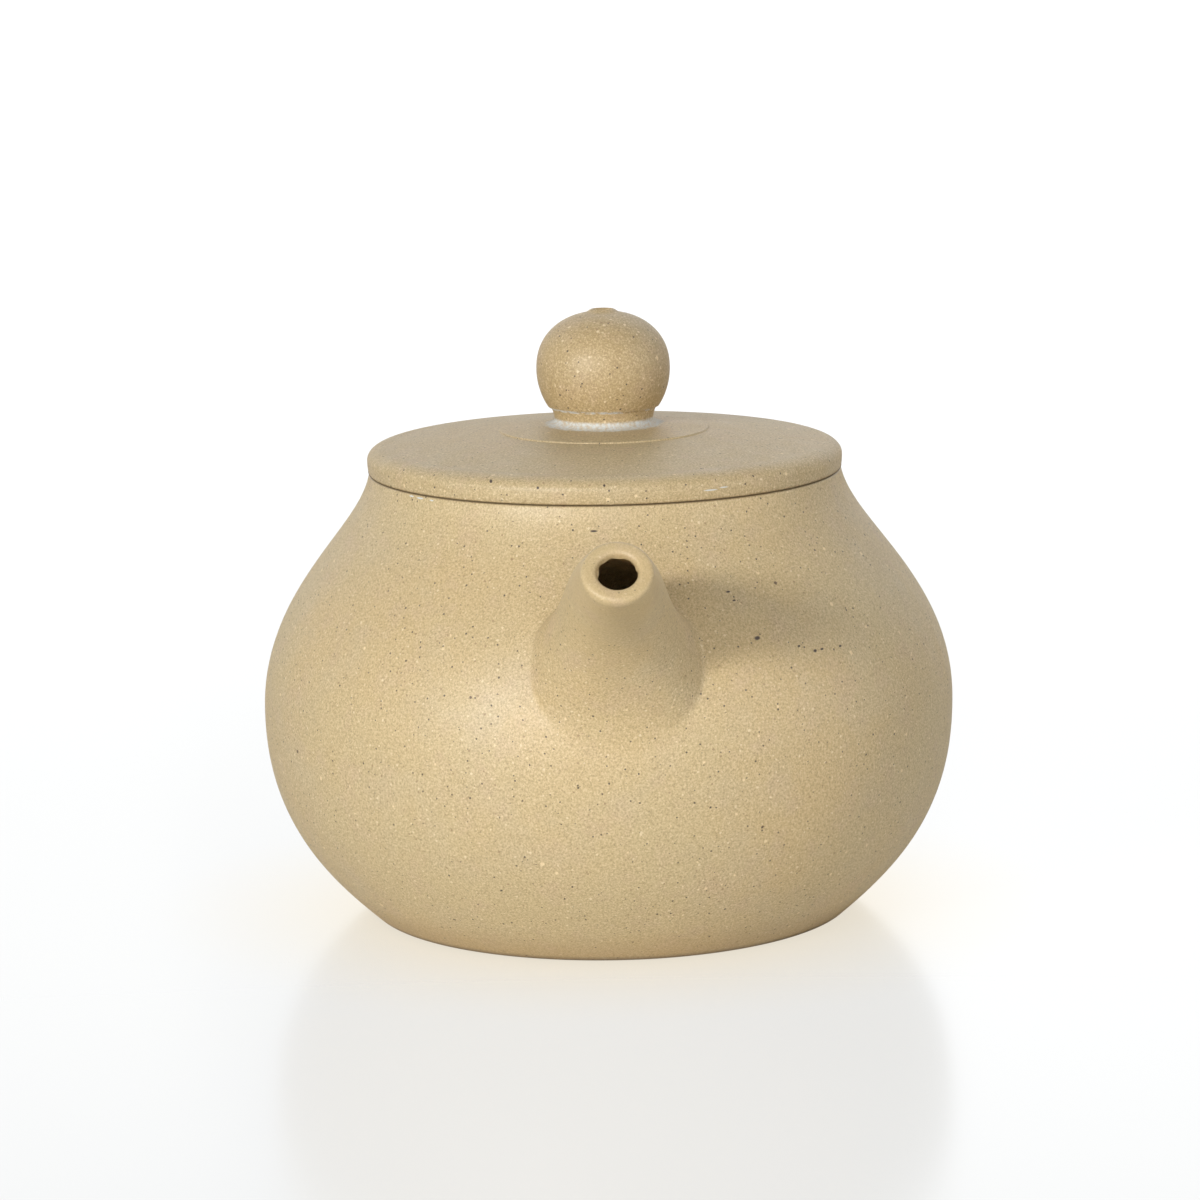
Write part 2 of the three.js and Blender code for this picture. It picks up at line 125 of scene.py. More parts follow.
BORE_RAGGED = 0.34
RAGGED_SIZE = 1.3

# Strainer
STRAINER_THICKNESS = 1.6
STRAINER_HEIGHT = 38.6
STRAINER_RADIUS = 9.4
STRAINER_GAP = 0.05
STRAINER_HOLE_RADIUS = 0.95
STRAINER_RINGS = ((0, 1), (25, 6), (48, 12))   # tilt from the pole in degrees, and count

# Handle
HANDLE_TOP_HEIGHT = 47.5
HANDLE_TOP_ANGLE = math.radians(24)
HANDLE_TOP_PULL = 13.0
HANDLE_BACK_HEIGHT = 38.0
HANDLE_BACK_PULL_UP = 10.5
HANDLE_BACK_PULL_DOWN = 10.0
HANDLE_FOOT_HEIGHT = 18.5
HANDLE_FOOT_ANGLE = math.radians(8)
HANDLE_FOOT_PULL = 12.0
HANDLE_HALF_WIDTH = 4.5
HANDLE_HALF_THICKNESS = 3.2
HANDLE_FOOT_SHRINK = 0.84
HANDLE_TOP_FILLET = (4.5, 2.2)     # reach along the handle and along the body
HANDLE_FOOT_FILLET = (4.0, 2.0)
ROOT_DEPTH = 4.5

# Fineness of the meshes
RING_STEPS = 288
KNOB_STEPS = 192
TUBE_STEPS = 96
LOFT_STEPS = 400
SPOUT_STEPS = 60
HANDLE_STEPS = 110
FILLET_STEPS = 12
EDGE_ROUND = 0.35
SHARP_ANGLE = math.radians(32)

# Unevenness of a pot shaped by hand: how far the surface moves, over which length
UNEVEN_WIDE = (0.09, 23.0)
UNEVEN_SMALL = (0.022, 7.0)
UNEVEN_FROM_RADIUS = 12.0


# Curves

def bezier(points, t):
    """Cubic curve through four control points at each t."""
    p = np.array(points, float)
    t = np.asarray(t, float)[..., None]
    return (
        (1 - t) ** 3 * p[0]
        + 3 * (1 - t) ** 2 * t * p[1]
        + 3 * (1 - t) * t ** 2 * p[2]
        + t ** 3 * p[3]
    )


def bezier_tangent(points, t):
    """Direction of the same curve at each t."""
    p = np.array(points, float)
    t = np.asarray(t, float)[..., None]
    slope = (
        (1 - t) ** 2 * (p[1] - p[0])
        + 2 * (1 - t) * t * (p[2] - p[1])
        + t ** 2 * (p[3] - p[2])
    )
    return slope / np.linalg.norm(slope, axis=-1, keepdims=True)


def blend(values, t):
    """Smooth value at t from any number of control values."""
    last = len(values) - 1
    return sum(
        math.comb(last, i) * (1 - t) ** (last - i) * t ** i * value
        for i, value in enumerate(values)
    )


def quarter_turn(start, end, starts_upright, steps, fullness=2.0):
    """Quarter of an ellipse between two profile points."""
    angle = np.linspace(0, math.pi / 2, steps + 1)[1:]
    late = 1 - np.abs(np.cos(angle)) ** (2 / fullness)
    early = np.sin(angle) ** (2 / fullness)
    across, along = (late, early) if starts_upright else (early, late)
    radius = start[0] + (end[0] - start[0]) * across
    height = start[1] + (end[1] - start[1]) * along
    return list(zip(radius, height))


LOWER_WALL = (
    (BASE_RADIUS, 0),
    (
        BASE_RADIUS + BASE_WALL_PULL * math.cos(BASE_WALL_ANGLE),
        BASE_WALL_PULL * math.sin(BASE_WALL_ANGLE),
    ),
    (BELLY_RADIUS, BELLY_HEIGHT - BELLY_PULL_DOWN),
    (BELLY_RADIUS, BELLY_HEIGHT),
)
UPPER_WALL = (
    (BELLY_RADIUS, BELLY_HEIGHT),
    (BELLY_RADIUS, BELLY_HEIGHT + BELLY_PULL_UP),
    (
        SEAT_RADIUS + SEAT_WALL_PULL * math.cos(SEAT_WALL_ANGLE),
        BODY_HEIGHT - SEAT_WALL_PULL * math.sin(SEAT_WALL_ANGLE),
    ),
    (SEAT_RADIUS, BODY_HEIGHT),
)


def sampled_wall(inset):
    """Radius and height along the body's outside, moved into the wall by the inset."""
    t = np.linspace(0, 1, 1500)
    point = np.concatenate([bezier(LOWER_WALL, t), bezier(UPPER_WALL, t)[1:]])
    slope = np.concatenate([bezier_tangent(LOWER_WALL, t), bezier_tangent(UPPER_WALL, t)[1:]])
    return point[:, 0] - slope[:, 1] * inset, point[:, 1] + slope[:, 0] * inset


OUTSIDE_RADIUS, OUTSIDE_HEIGHT = sampled_wall(0)
OUTSIDE_ARC = np.concatenate([
    [0],
    np.cumsum(np.hypot(np.diff(OUTSIDE_RADIUS), np.diff(OUTSIDE_HEIGHT))),
])


def wall_radius(height, inset=0.0):
    """Radius of that line at a height."""
    if inset == 0:
        return np.interp(height, OUTSIDE_HEIGHT, OUTSIDE_RADIUS)
    radius, heights = sampled_wall(inset)
    return np.interp(height, heights, radius)


def wall_line(low, high, step, inset=0.0):
    """Profile points along the wall between two heights, upwards or downwards."""
    count = max(2, int(abs(high - low) / step))
    heights = np.linspace(low, high, count + 1)
    return list(zip(wall_radius(heights, inset), heights))


def rounded(corners):
    """A closed profile whose corners (radius, height, rounding) are rounded, 0 for none."""
    points = []
    total = len(corners)
    for i, corner in enumerate(corners):
        here = np.array(corner[:2], float)
        rounding = corner[2] if len(corner) > 2 else 0
        if rounding == 0:
            points.append(tuple(here))
            continue
        before = np.array(corners[i - 1][:2], float) - here
        after = np.array(corners[(i + 1) % total][:2], float) - here
        start = here + before / np.linalg.norm(before) * rounding
        end = here + after / np.linalg.norm(after) * rounding
        for t in np.linspace(0, 1, 7):
            points.append(tuple((1 - t) ** 2 * start + 2 * t * (1 - t) * here + t ** 2 * end))
    return points


def filled(points, longest):
    """Adds points on the long straight runs of a closed profile."""
    out = []
    for i, point in enumerate(points):
        here = np.array(point)
        there = np.array(points[(i + 1) % len(points)])
        count = max(1, int(math.ceil(np.linalg.norm(there - here) / longest)))
        for k in range(count):
            out.append(tuple(here + (there - here) * k / count))
    return out


# Meshes

AXIS_RADIUS = 1e-6


def hand_shape(points):
    """Moves points as one smooth field that all pieces share, so that they still meet."""
    moved = points.copy()
    for i, point in enumerate(points):
        radius = math.hypot(point[0], point[1])
        if radius < AXIS_RADIUS:
            continue
        wide = noise.noise(Vector(point) / UNEVEN_WIDE[1] + Vector((3.1, 0.7, 1.9)))
        small = noise.noise(Vector(point) / UNEVEN_SMALL[1] + Vector((8.2, 4.4, 2.6)))
        away = UNEVEN_WIDE[0] * wide + UNEVEN_SMALL[0] * small
        away *= min(1.0, radius / UNEVEN_FROM_RADIUS)
        moved[i, 0] += point[0] / radius * away
        moved[i, 1] += point[1] / radius * away
    return moved


def smooth(mesh):
    """Shades the mesh smooth and keeps the edges where its faces turn sharply."""
    mesh.polygons.foreach_set("use_smooth", [True] * len(mesh.polygons))
    mesh.set_sharp_from_angle(angle=SHARP_ANGLE)
    mesh.update()


def add_piece(name, points, faces):
    """Object with a mesh of these points in millimetres, its faces pointing out."""
    points = hand_shape(np.asarray(points, float))
    mesh = bpy.data.meshes.new(name)
    mesh.from_pydata([tuple(p) for p in points * MM], [], faces)
    work = bmesh.new()
    work.from_mesh(mesh)
    bmesh.ops.recalc_face_normals(work, faces=work.faces)
    work.to_mesh(mesh)
    work.free()
    smooth(mesh)
    piece = bpy.data.objects.new(name, mesh)
    bpy.context.collection.objects.link(piece)
    return piece


def revolve(name, profile, steps):
    """Turns a closed profile round the axis; points on the axis become one vertex each."""
    points = []
    rings = []
    for radius, height in profile:
        if radius < AXIS_RADIUS:
            rings.append([len(points)] * steps)
            points.append((0.0, 0.0, height))
            continue
        rings.append(list(range(len(points), len(points) + steps)))
        for k in range(steps):
            angle = 2 * math.pi * k / steps
            points.append((radius * math.cos(angle), radius * math.sin(angle), height))
    faces = []
    for i, ring in enumerate(rings):
        after = rings[(i + 1) % len(rings)]
        for k in range(steps):
            n = (k + 1) % steps
            corners = [ring[k], ring[n], after[n], after[k]]
            unique = list(dict.fromkeys(corners))
            if len(unique) > 2:
                faces.append(unique)
    return add_piece(name, points, faces)


def skin(name, rows, capped=True):
    """Closed skin over rows of points, each row a loop of the same length.

    It ends in two flat caps, or else its last row joins its first.
    """
    count = len(rows[0])
    points = [tuple(p) for row in rows for p in row]
    last = len(rows) - 1
    faces = []
    for i in range(last if capped else last + 1):
        here = i * count
        there = (i + 1) % len(rows) * count
        for k in range(count):
            n = (k + 1) % count
            faces.append((here + k, here + n, there + n, there + k))
    if capped:
        faces += [tuple(range(first, first + count)) for first in (0, last * count)]
    return add_piece(name, points, faces)


def cut(piece, cutter):
    """Takes the cutter's volume out of a piece and deletes the cutter."""
    modifier = piece.modifiers.new("cut", "BOOLEAN")
    modifier.object = cutter
    modifier.operation = "DIFFERENCE"
    modifier.solver = "EXACT"
    graph = bpy.context.evaluated_depsgraph_get()
    mesh = bpy.data.meshes.new_from_object(piece.evaluated_get(graph))
    piece.modifiers.clear()
    old = piece.data
    piece.data = mesh
    mesh.name = piece.name
    bpy.data.meshes.remove(old)
    smooth(mesh)
    bpy.data.objects.remove(cutter)


# Roots that blend into the body

def on_body(azimuth, arc, depth=0.0):
    """Point of the body's outside at an azimuth and an arc length up from the base edge."""
    radius = np.interp(arc, OUTSIDE_ARC, OUTSIDE_RADIUS)
    height = np.interp(arc, OUTSIDE_ARC, OUTSIDE_HEIGHT)
    rise = 0.05
    radius_slope = np.interp(arc + rise, OUTSIDE_ARC, OUTSIDE_RADIUS) - radius
    height_slope = np.interp(arc + rise, OUTSIDE_ARC, OUTSIDE_HEIGHT) - height
    length = np.hypot(radius_slope, height_slope)
    radius = radius - depth * height_slope / length
    height = height + depth * radius_slope / length
    return np.stack([radius * np.cos(azimuth), radius * np.sin(azimuth), height], axis=-1)


def even_reach(reach):
    """Reach of a fillet that is the same all round."""
    return lambda aside, above: np.full_like(aside, reach)


def root_blend(path, from_start, along_piece, along_body):
    """Rows of a fillet between a tube's skin and the body.

    path is a grid of skin points, one column for each angle, from inside the body outwards
    (from_start) or the other way round. along_piece and along_body give the fillet's reach for
    the direction in which a column lies from the root's middle. Returns the rows from the tube
    to the body and, for each column, where the tube's own skin begins.
    """
    grid = path if from_start else path[::-1]
    columns = grid.shape[1]
    outside = np.hypot(grid[..., 0], grid[..., 1]) - wall_radius(grid[..., 2])
    crossing = np.zeros((columns, 3))
    place = np.zeros(columns)
    for k in range(columns):
        i = int(np.nonzero(outside[:, k] > 0)[0][0]) - 1
        share = outside[i, k] / (outside[i, k] - outside[i + 1, k])
        crossing[k] = grid[i, k] + (grid[i + 1, k] - grid[i, k]) * share
        place[k] = i + share
    azimuth = np.unwrap(np.arctan2(crossing[:, 1], crossing[:, 0]))
    arc = np.interp(crossing[:, 2], OUTSIDE_HEIGHT, OUTSIDE_ARC)
    radius = np.hypot(crossing[:, 0], crossing[:, 1])
    aside = (azimuth - azimuth.mean()) * radius
    above = arc - arc.mean()
    length = np.hypot(aside, above)
    aside, above = aside / length, above / length
    reach_piece = along_piece(aside, above)
    reach_body = along_body(aside, above)
    start = np.zeros((columns, 3))
    begins = np.zeros(columns)
    for k in range(columns):
        rest = grid[int(place[k]) + 1:, k]
        run = np.concatenate([crossing[k][None], rest])
        travelled = np.concatenate([[0], np.cumsum(np.linalg.norm(np.diff(run, axis=0), axis=1))])
        start[k] = [np.interp(reach_piece[k], travelled, run[:, j]) for j in range(3)]
        index = np.concatenate([[place[k]], np.arange(int(place[k]) + 1, len(grid))])
        begins[k] = np.interp(reach_piece[k], travelled, index) / (len(grid) - 1)
    end = on_body(azimuth + reach_body * aside / radius, arc + reach_body * above)
    ease = 0.7
    fillet = (start, start + (crossing - start) * ease, end + (crossing - end) * ease, end)
    rows = []
    for t in np.linspace(0, 1, FILLET_STEPS + 1):
        weights = ((1 - t) ** 3, 3 * (1 - t) ** 2 * t, 3 * (1 - t) * t ** 2, t ** 3)
        rows.append(sum(w * p for w, p in zip(weights, fillet)))
    for further, depth in ((0.35, 0.05), (0.8, 0.35)):
        reach = reach_body + further
        rows.append(on_body(azimuth + reach * aside / radius, arc + reach * above, depth))
    return rows, begins


def section_row(centre, up, half_width, half_height, fullness=2.0):
    """One loop of a section: its middle and its upward direction in the X-Z plane.

    A fullness of 2 makes an ellipse, more makes it squarer.
    """
    angle = np.linspace(0, 2 * math.pi, TUBE_STEPS, endpoint=False)
    across = np.sign(np.cos(angle)) * np.abs(np.cos(angle)) ** (2 / fullness)
    along = np.sign(np.sin(angle)) * np.abs(np.sin(angle)) ** (2 / fullness)
    return (
        np.array([centre[0], 0, centre[1]])
        + np.outer(across * half_width, [0, 1, 0])
        + np.outer(along * half_height, [up[0], 0, up[1]])
    )


# Pieces of the pot

def make_base_disc():
    ring_inside = BASE_RADIUS - FOOT_WIDTH
    corners = [
        (0, FOOT_RECESS),
        (ring_inside - 1.6, FOOT_RECESS, 1.0),
        (ring_inside, 0, 0.5),
        (BASE_RADIUS, 0, EDGE_ROUND),
        *wall_line(0, BASE_THICKNESS, 0.4)[1:],
        (0, BASE_THICKNESS),
    ]
    return revolve("base_disc_fine", filled(rounded(corners), 3.0), RING_STEPS)


def make_body_wall():
    profile = [
        *wall_line(BASE_THICKNESS, MOUTH_RING_FOOT, 0.6),
        *wall_line(MOUTH_RING_FOOT, BASE_THICKNESS, 1.2, WALL),
    ]
    wall = revolve("body_wall_fine", profile, RING_STEPS)
    rows = [bore_row(t) for t in np.linspace(0, 1, 25)]
    cut(wall, skin("wall_opening", rows))
    return wall


def make_mouth_ring():
    corners = [
        (MOUTH_RADIUS, MOUTH_RING_FOOT, 0.3),
        *wall_line(MOUTH_RING_FOOT, BODY_HEIGHT, 0.4)[:-1],
        (SEAT_RADIUS, BODY_HEIGHT, EDGE_ROUND),
        (MOUTH_RADIUS, BODY_HEIGHT, 0.5),
    ]
    return revolve("mouth_ring_fine", filled(rounded(corners), 1.5), RING_STEPS)


def heading(angle):
    """Direction in the X-Z plane at an angle above level."""
    return np.array([math.cos(angle), math.sin(angle)])


LIP_ROUND = (SPOUT_TIP_RADIUS - SPOUT_BORE_TIP) / 2
LIP_RADIUS = SPOUT_TIP_RADIUS - LIP_ROUND
LIP_FULLNESS = 3.0
LIP_FACING = heading(SPOUT_TIP_ANGLE)
LIP_UP = np.array([-LIP_FACING[1], LIP_FACING[0]])
LIP_CENTRE = np.array([REACH - LIP_ROUND - LIP_RADIUS * LIP_FACING[1], SPOUT_TIP_HEIGHT])


def spout_line(start, start_angle, start_pull, end, end_angle, end_pull):
    """Control points of one of the spout's two lines, from inside the wall out to the lip."""
    start = np.array(start)
    leaving = heading(start_angle) * start_pull
    arriving = heading(end_angle) * end_pull
    return (start, start + leaving, end - arriving, end)


SPOUT_TOP = spout_line(
    SPOUT_TOP_START,
    SPOUT_TOP_START_ANGLE,
    SPOUT_TOP_START_PULL,
    LIP_CENTRE + LIP_UP * SPOUT_TIP_RADIUS,
    SPOUT_TOP_TIP_ANGLE,
    SPOUT_TOP_TIP_PULL,
)
SPOUT_UNDER = spout_line(
    SPOUT_UNDER_START,
    SPOUT_UNDER_START_ANGLE,
    SPOUT_UNDER_START_PULL,
    LIP_CENTRE - LIP_UP * SPOUT_TIP_RADIUS,
    SPOUT_UNDER_TIP_ANGLE,
    SPOUT_UNDER_TIP_PULL,
)


def spout_row(t, inset=0.0):
    """Section at t, 0 at the start and 1 at the lip, drawn in on all sides by the inset."""
    top = bezier(SPOUT_TOP, t)
    under = bezier(SPOUT_UNDER, t)
    height = np.linalg.norm(top - under)
    half_width = blend(SPOUT_WIDTHS, t)
    row = section_row(
        (top + under) / 2,
        (top - under) / height,
        half_width - inset,
        height / 2 - inset,
        2 + (SPOUT_ROOT_FULLNESS - 2) * (1 - t),
    )
    row[:, 1] += SPOUT_ROOT_SHIFT * (1 - t)
    return row


def bore_row(t):
    """Section of the bore at t."""
    return spout_row(t, blend(SPOUT_WALLS, t))


def lip_row(radius, ahead):
    """Circle of the lip, moved ahead the way the lip faces."""
    return section_row(LIP_CENTRE + LIP_FACING * ahead, LIP_UP, radius, radius)


def ragged(row, amount):
    """Moves the points of a row to and from its middle, as a hole pierced in soft clay is left."""
    middle = row.mean(axis=0)
    away = (row - middle) / np.linalg.norm(row - middle, axis=1, keepdims=True)
    moves = [noise.noise(Vector(point) / RAGGED_SIZE) for point in row]
    return row + away * np.array(moves)[:, None] * amount


def spout_fillet(aside, above):
    """Reach of the root's fillet: sharp at the sides, sharper at one crease, wide below."""
    below = np.clip(-above, 0, 1) ** 3
    turn = np.degrees(np.arctan2(above, aside))
    crease = np.exp(-((turn - SPOUT_CREASE_TURN) / SPOUT_CREASE_SPREAD) ** 2)
    return SPOUT_ROOT_FILLET * (1 + SPOUT_ROOT_RUN_OUT * below) * (1 - SPOUT_CREASE_SHARE * crease)


def between(path, place):
    """Row of a grid at a place of its own for each column."""
    low = np.minimum(place.astype(int), len(path) - 2)
    part = (place - low)[:, None]
    columns = np.arange(TUBE_STEPS)
    return path[low, columns] * (1 - part) + path[low + 1, columns] * part


def make_spout():
    """Closed skin: up from the root's fillet, round the lip and back down the bore."""
    path = np.array([spout_row(t) for t in np.linspace(0, 1, LOFT_STEPS + 1)])
    fillet, begins = root_blend(path, True, spout_fillet, spout_fillet)
    rows = list(fillet[::-1])
    for i in range(1, SPOUT_STEPS + 1):
        share = begins + (1 - begins) * i / SPOUT_STEPS
        rows.append(between(path, share * (len(path) - 1)))
    for turn in np.radians(np.linspace(6, 174, 22)):
        aside = math.copysign(abs(math.cos(turn)) ** (2 / LIP_FULLNESS), math.cos(turn))
        ahead = math.sin(turn) ** (2 / LIP_FULLNESS)
        rows.append(lip_row(LIP_RADIUS + LIP_ROUND * aside, LIP_ROUND * ahead))
    for t in np.linspace(1, BORE_START, SPOUT_STEPS):
        rows.append(ragged(bore_row(t), BORE_RAGGED))
    return skin("spout_fine", rows, capped=False)


def make_strainer():
    """Pierced dome over the wall's opening; its rim follows the inside of the wall."""
    inside = float(wall_radius(STRAINER_HEIGHT, WALL))
    centre = np.array([inside + STRAINER_THICKNESS, 0, STRAINER_HEIGHT])
    round_it = np.linspace(0, 2 * math.pi, TUBE_STEPS, endpoint=False)
    pole = 0.02
    past_wall = 0.62 * math.pi

    def loop(radius, tilt):
        """Loop of the dome, with a tilt from its pole for each direction round it."""
        away = np.stack([
            -np.cos(tilt),
            np.sin(tilt) * np.cos(round_it),
            np.sin(tilt) * np.sin(round_it),
        ], axis=1)
        return centre + away * radius

    def rim_tilt(radius):
        """Tilt at which the dome meets the wall, for each direction round it."""
        rim = np.full(TUBE_STEPS, past_wall)
        for tilt in np.linspace(past_wall, pole, 300):
            row = loop(radius, np.full(TUBE_STEPS, tilt))
            past = np.hypot(row[:, 0], row[:, 1]) > wall_radius(row[:, 2], WALL + STRAINER_GAP)
            rim[past] = tilt
        return rim

    shares = np.linspace(0, 1, 40)
    outer_rim = rim_tilt(STRAINER_RADIUS)
    inner_rim = rim_tilt(STRAINER_RADIUS - STRAINER_THICKNESS)
    outer = [loop(STRAINER_RADIUS, pole + (outer_rim - pole) * share) for share in shares]
    inner = [
        loop(STRAINER_RADIUS - STRAINER_THICKNESS, pole + (inner_rim - pole) * share)
        for share in shares[::-1]
    ]
    dome = skin("strainer_fine", outer + inner)
    for tilt, count in STRAINER_RINGS:
        for i in range(count):
            cut(dome, strainer_drill(centre, math.radians(tilt), 2 * math.pi * i / count))
    return dome


def strainer_drill(centre, tilt, turn):
    """Round rod that pierces one of the dome's holes."""
    away = np.array([
        -math.cos(tilt),
        math.sin(tilt) * math.cos(turn),
        math.sin(tilt) * math.sin(turn),
    ])
    first = np.cross(away, [0.3, 0.9, 0.2])
    first /= np.linalg.norm(first)
    second = np.cross(away, first)
    round_it = np.linspace(0, 2 * math.pi, 20, endpoint=False)
    circle = STRAINER_HOLE_RADIUS * (
        np.outer(np.cos(round_it), first) + np.outer(np.sin(round_it), second)
    )
    ends = (STRAINER_RADIUS - 3.5, STRAINER_RADIUS + 2.0)
    return skin("drill", [centre + away * depth + circle for depth in ends])


HANDLE_MIDDLE_SIZE = (1 + HANDLE_FOOT_SHRINK) / 2
HANDLE_TOP = (ROOT_DEPTH - wall_radius(HANDLE_TOP_HEIGHT), HANDLE_TOP_HEIGHT)
HANDLE_FOOT = (ROOT_DEPTH - wall_radius(HANDLE_FOOT_HEIGHT), HANDLE_FOOT_HEIGHT)
HANDLE_BACK = (HANDLE_HALF_THICKNESS * HANDLE_MIDDLE_SIZE - REACH, HANDLE_BACK_HEIGHT)
HANDLE_UPPER = (
    HANDLE_TOP,
    (
        HANDLE_TOP[0] - HANDLE_TOP_PULL * math.cos(HANDLE_TOP_ANGLE),
        HANDLE_TOP[1] + HANDLE_TOP_PULL * math.sin(HANDLE_TOP_ANGLE),
    ),
    (HANDLE_BACK[0], HANDLE_BACK[1] + HANDLE_BACK_PULL_UP),
    HANDLE_BACK,
)
HANDLE_LOWER = (
    HANDLE_BACK,
    (HANDLE_BACK[0], HANDLE_BACK[1] - HANDLE_BACK_PULL_DOWN),
    (
        HANDLE_FOOT[0] - HANDLE_FOOT_PULL * math.cos(HANDLE_FOOT_ANGLE),
        HANDLE_FOOT[1] - HANDLE_FOOT_PULL * math.sin(HANDLE_FOOT_ANGLE),
    ),
    HANDLE_FOOT,
)


def handle_row(along):
    """Section at 0 to 1 for the upper half of the handle and 1 to 2 for the lower half."""
    line = HANDLE_UPPER if along < 1 else HANDLE_LOWER
    t = along if along < 1 else along - 1
    size = 1 + (HANDLE_FOOT_SHRINK - 1) * along / 2
    tangent = bezier_tangent(line, t)
    return section_row(
        bezier(line, t),
        (-tangent[1], tangent[0]),
        HANDLE_HALF_WIDTH * size,
        HANDLE_HALF_THICKNESS * size,
    )


def make_handle():
    """Ear-shaped tube whose two roots run into the body."""
    path = np.array([handle_row(along) for along in np.linspace(0, 2, 2 * LOFT_STEPS + 1)])
    upper, starts = root_blend(path, True, *(even_reach(reach) for reach in HANDLE_TOP_FILLET))
    lower, ends = root_blend(path, False, *(even_reach(reach) for reach in HANDLE_FOOT_FILLET))
    rows = list(upper[::-1])
    for i in range(1, HANDLE_STEPS):
        share = starts + (1 - ends - starts) * i / HANDLE_STEPS
        rows.append(between(path, share * (len(path) - 1)))
    rows += lower
    return skin("handle_fine", rows)


# Pieces of the lid

def make_lid_plate():
    rim_inner = RIM_RADIUS - RIM_SHOULDER_WIDTH
    hollow_top = PAD_FOOT - LID_THICKNESS
    bulge = (RIM_RADIUS, RIM_BULGE_HEIGHT)
    dome = []
    for radius in np.linspace(rim_inner, PAD_RADIUS, 24)[1:]:
        bow = (rim_inner ** 2 - radius ** 2) / (rim_inner ** 2 - PAD_RADIUS ** 2)
        dome.append((radius, RIM_TOP + (PAD_FOOT - RIM_TOP) * bow))
    corners = [
        (VENT_RADIUS, hollow_top, 0.2),
        (FLANGE_INSIDE - 1.4, hollow_top),
        *quarter_turn((FLANGE_INSIDE - 1.4, hollow_top), (FLANGE_INSIDE, BODY_HEIGHT), False, 8),
        (SEAT_RADIUS - 0.1, BODY_HEIGHT, 0.3),
        *quarter_turn((SEAT_RADIUS - 0.1, BODY_HEIGHT), bulge, False, 8)[1:],
        *quarter_turn(bulge, (rim_inner, RIM_TOP), True, 18, RIM_FULLNESS),
        *dome,
        (VENT_RADIUS, PAD_FOOT),
    ]
    return revolve("lid_plate_fine", filled(rounded(corners), 1.5), RING_STEPS)


def make_lid_flange():
    foot = BODY_HEIGHT - FLANGE_DEPTH
    corners = [
        (FLANGE_INSIDE, foot, 0.8),
        (FLANGE_OUTSIDE, foot, 0.8),
        (FLANGE_OUTSIDE, BODY_HEIGHT),
        (FLANGE_INSIDE, BODY_HEIGHT),
    ]
    return revolve("lid_flange_fine", filled(rounded(corners), 1.2), RING_STEPS)


def make_knob_pad():
    collar_foot_radius = NECK_RADIUS + COLLAR_FLARE
    crown = []
    for t in np.linspace(0, 1, 12)[1:]:
        radius = PAD_RADIUS - 0.12 + (collar_foot_radius - PAD_RADIUS + 0.12) * t
        height = PAD_EDGE_TOP + (COLLAR_FOOT - PAD_EDGE_TOP) * math.sin(t * math.pi / 2)
        crown.append((radius, height))
    corners = [
        (VENT_RADIUS, PAD_FOOT),
        (PAD_RADIUS, PAD_FOOT),
        (PAD_RADIUS - 0.08, PAD_EDGE_TOP, 0.12),
        *crown,
        *quarter_turn(crown[-1], (NECK_RADIUS, COLLAR_TOP), False, 8),
        (VENT_RADIUS, COLLAR_TOP),
    ]
    return revolve("knob_pad_fine", filled(rounded(corners), 1.0), RING_STEPS)


def make_knob():
    drop = NECK_TOP - BALL_MIDDLE
    lower = []
    for t in np.linspace(0, 1, 24):
        height = BALL_MIDDLE + drop * (1 - t)
        radius = BALL_RADIUS * math.sqrt(1 - ((BALL_MIDDLE - height) / BALL_DEPTH_BELOW) ** 2)
        lower.append((radius, height))
    vent_lip = VENT_RADIUS + VENT_LIP_WIDTH
    upper = quarter_turn((BALL_RADIUS, BALL_MIDDLE), (0, BALL_TOP), True, 40, BALL_FULLNESS)
    neck = []
    for t in np.linspace(0, 1, 8):
        neck.append((NECK_RADIUS + NECK_FLARE * t ** 2, COLLAR_TOP + (NECK_TOP - COLLAR_TOP) * t))
    corners = [
        (VENT_RADIUS, COLLAR_TOP),
        *neck,
        (lower[0][0], lower[0][1] + 0.02, 0.08),
        *lower[1:],
        *[point for point in upper if point[0] > vent_lip + 0.3],
        (vent_lip, BALL_TOP, 0.2),
        (VENT_RADIUS + VENT_LIP_WIDTH / 2, BALL_TOP + VENT_LIP_HEIGHT, 0.15),
        (VENT_RADIUS, BALL_TOP, 0.2),
    ]
    return revolve("knob_fine", filled(rounded(corners), 1.0), KNOB_STEPS)


# Materials

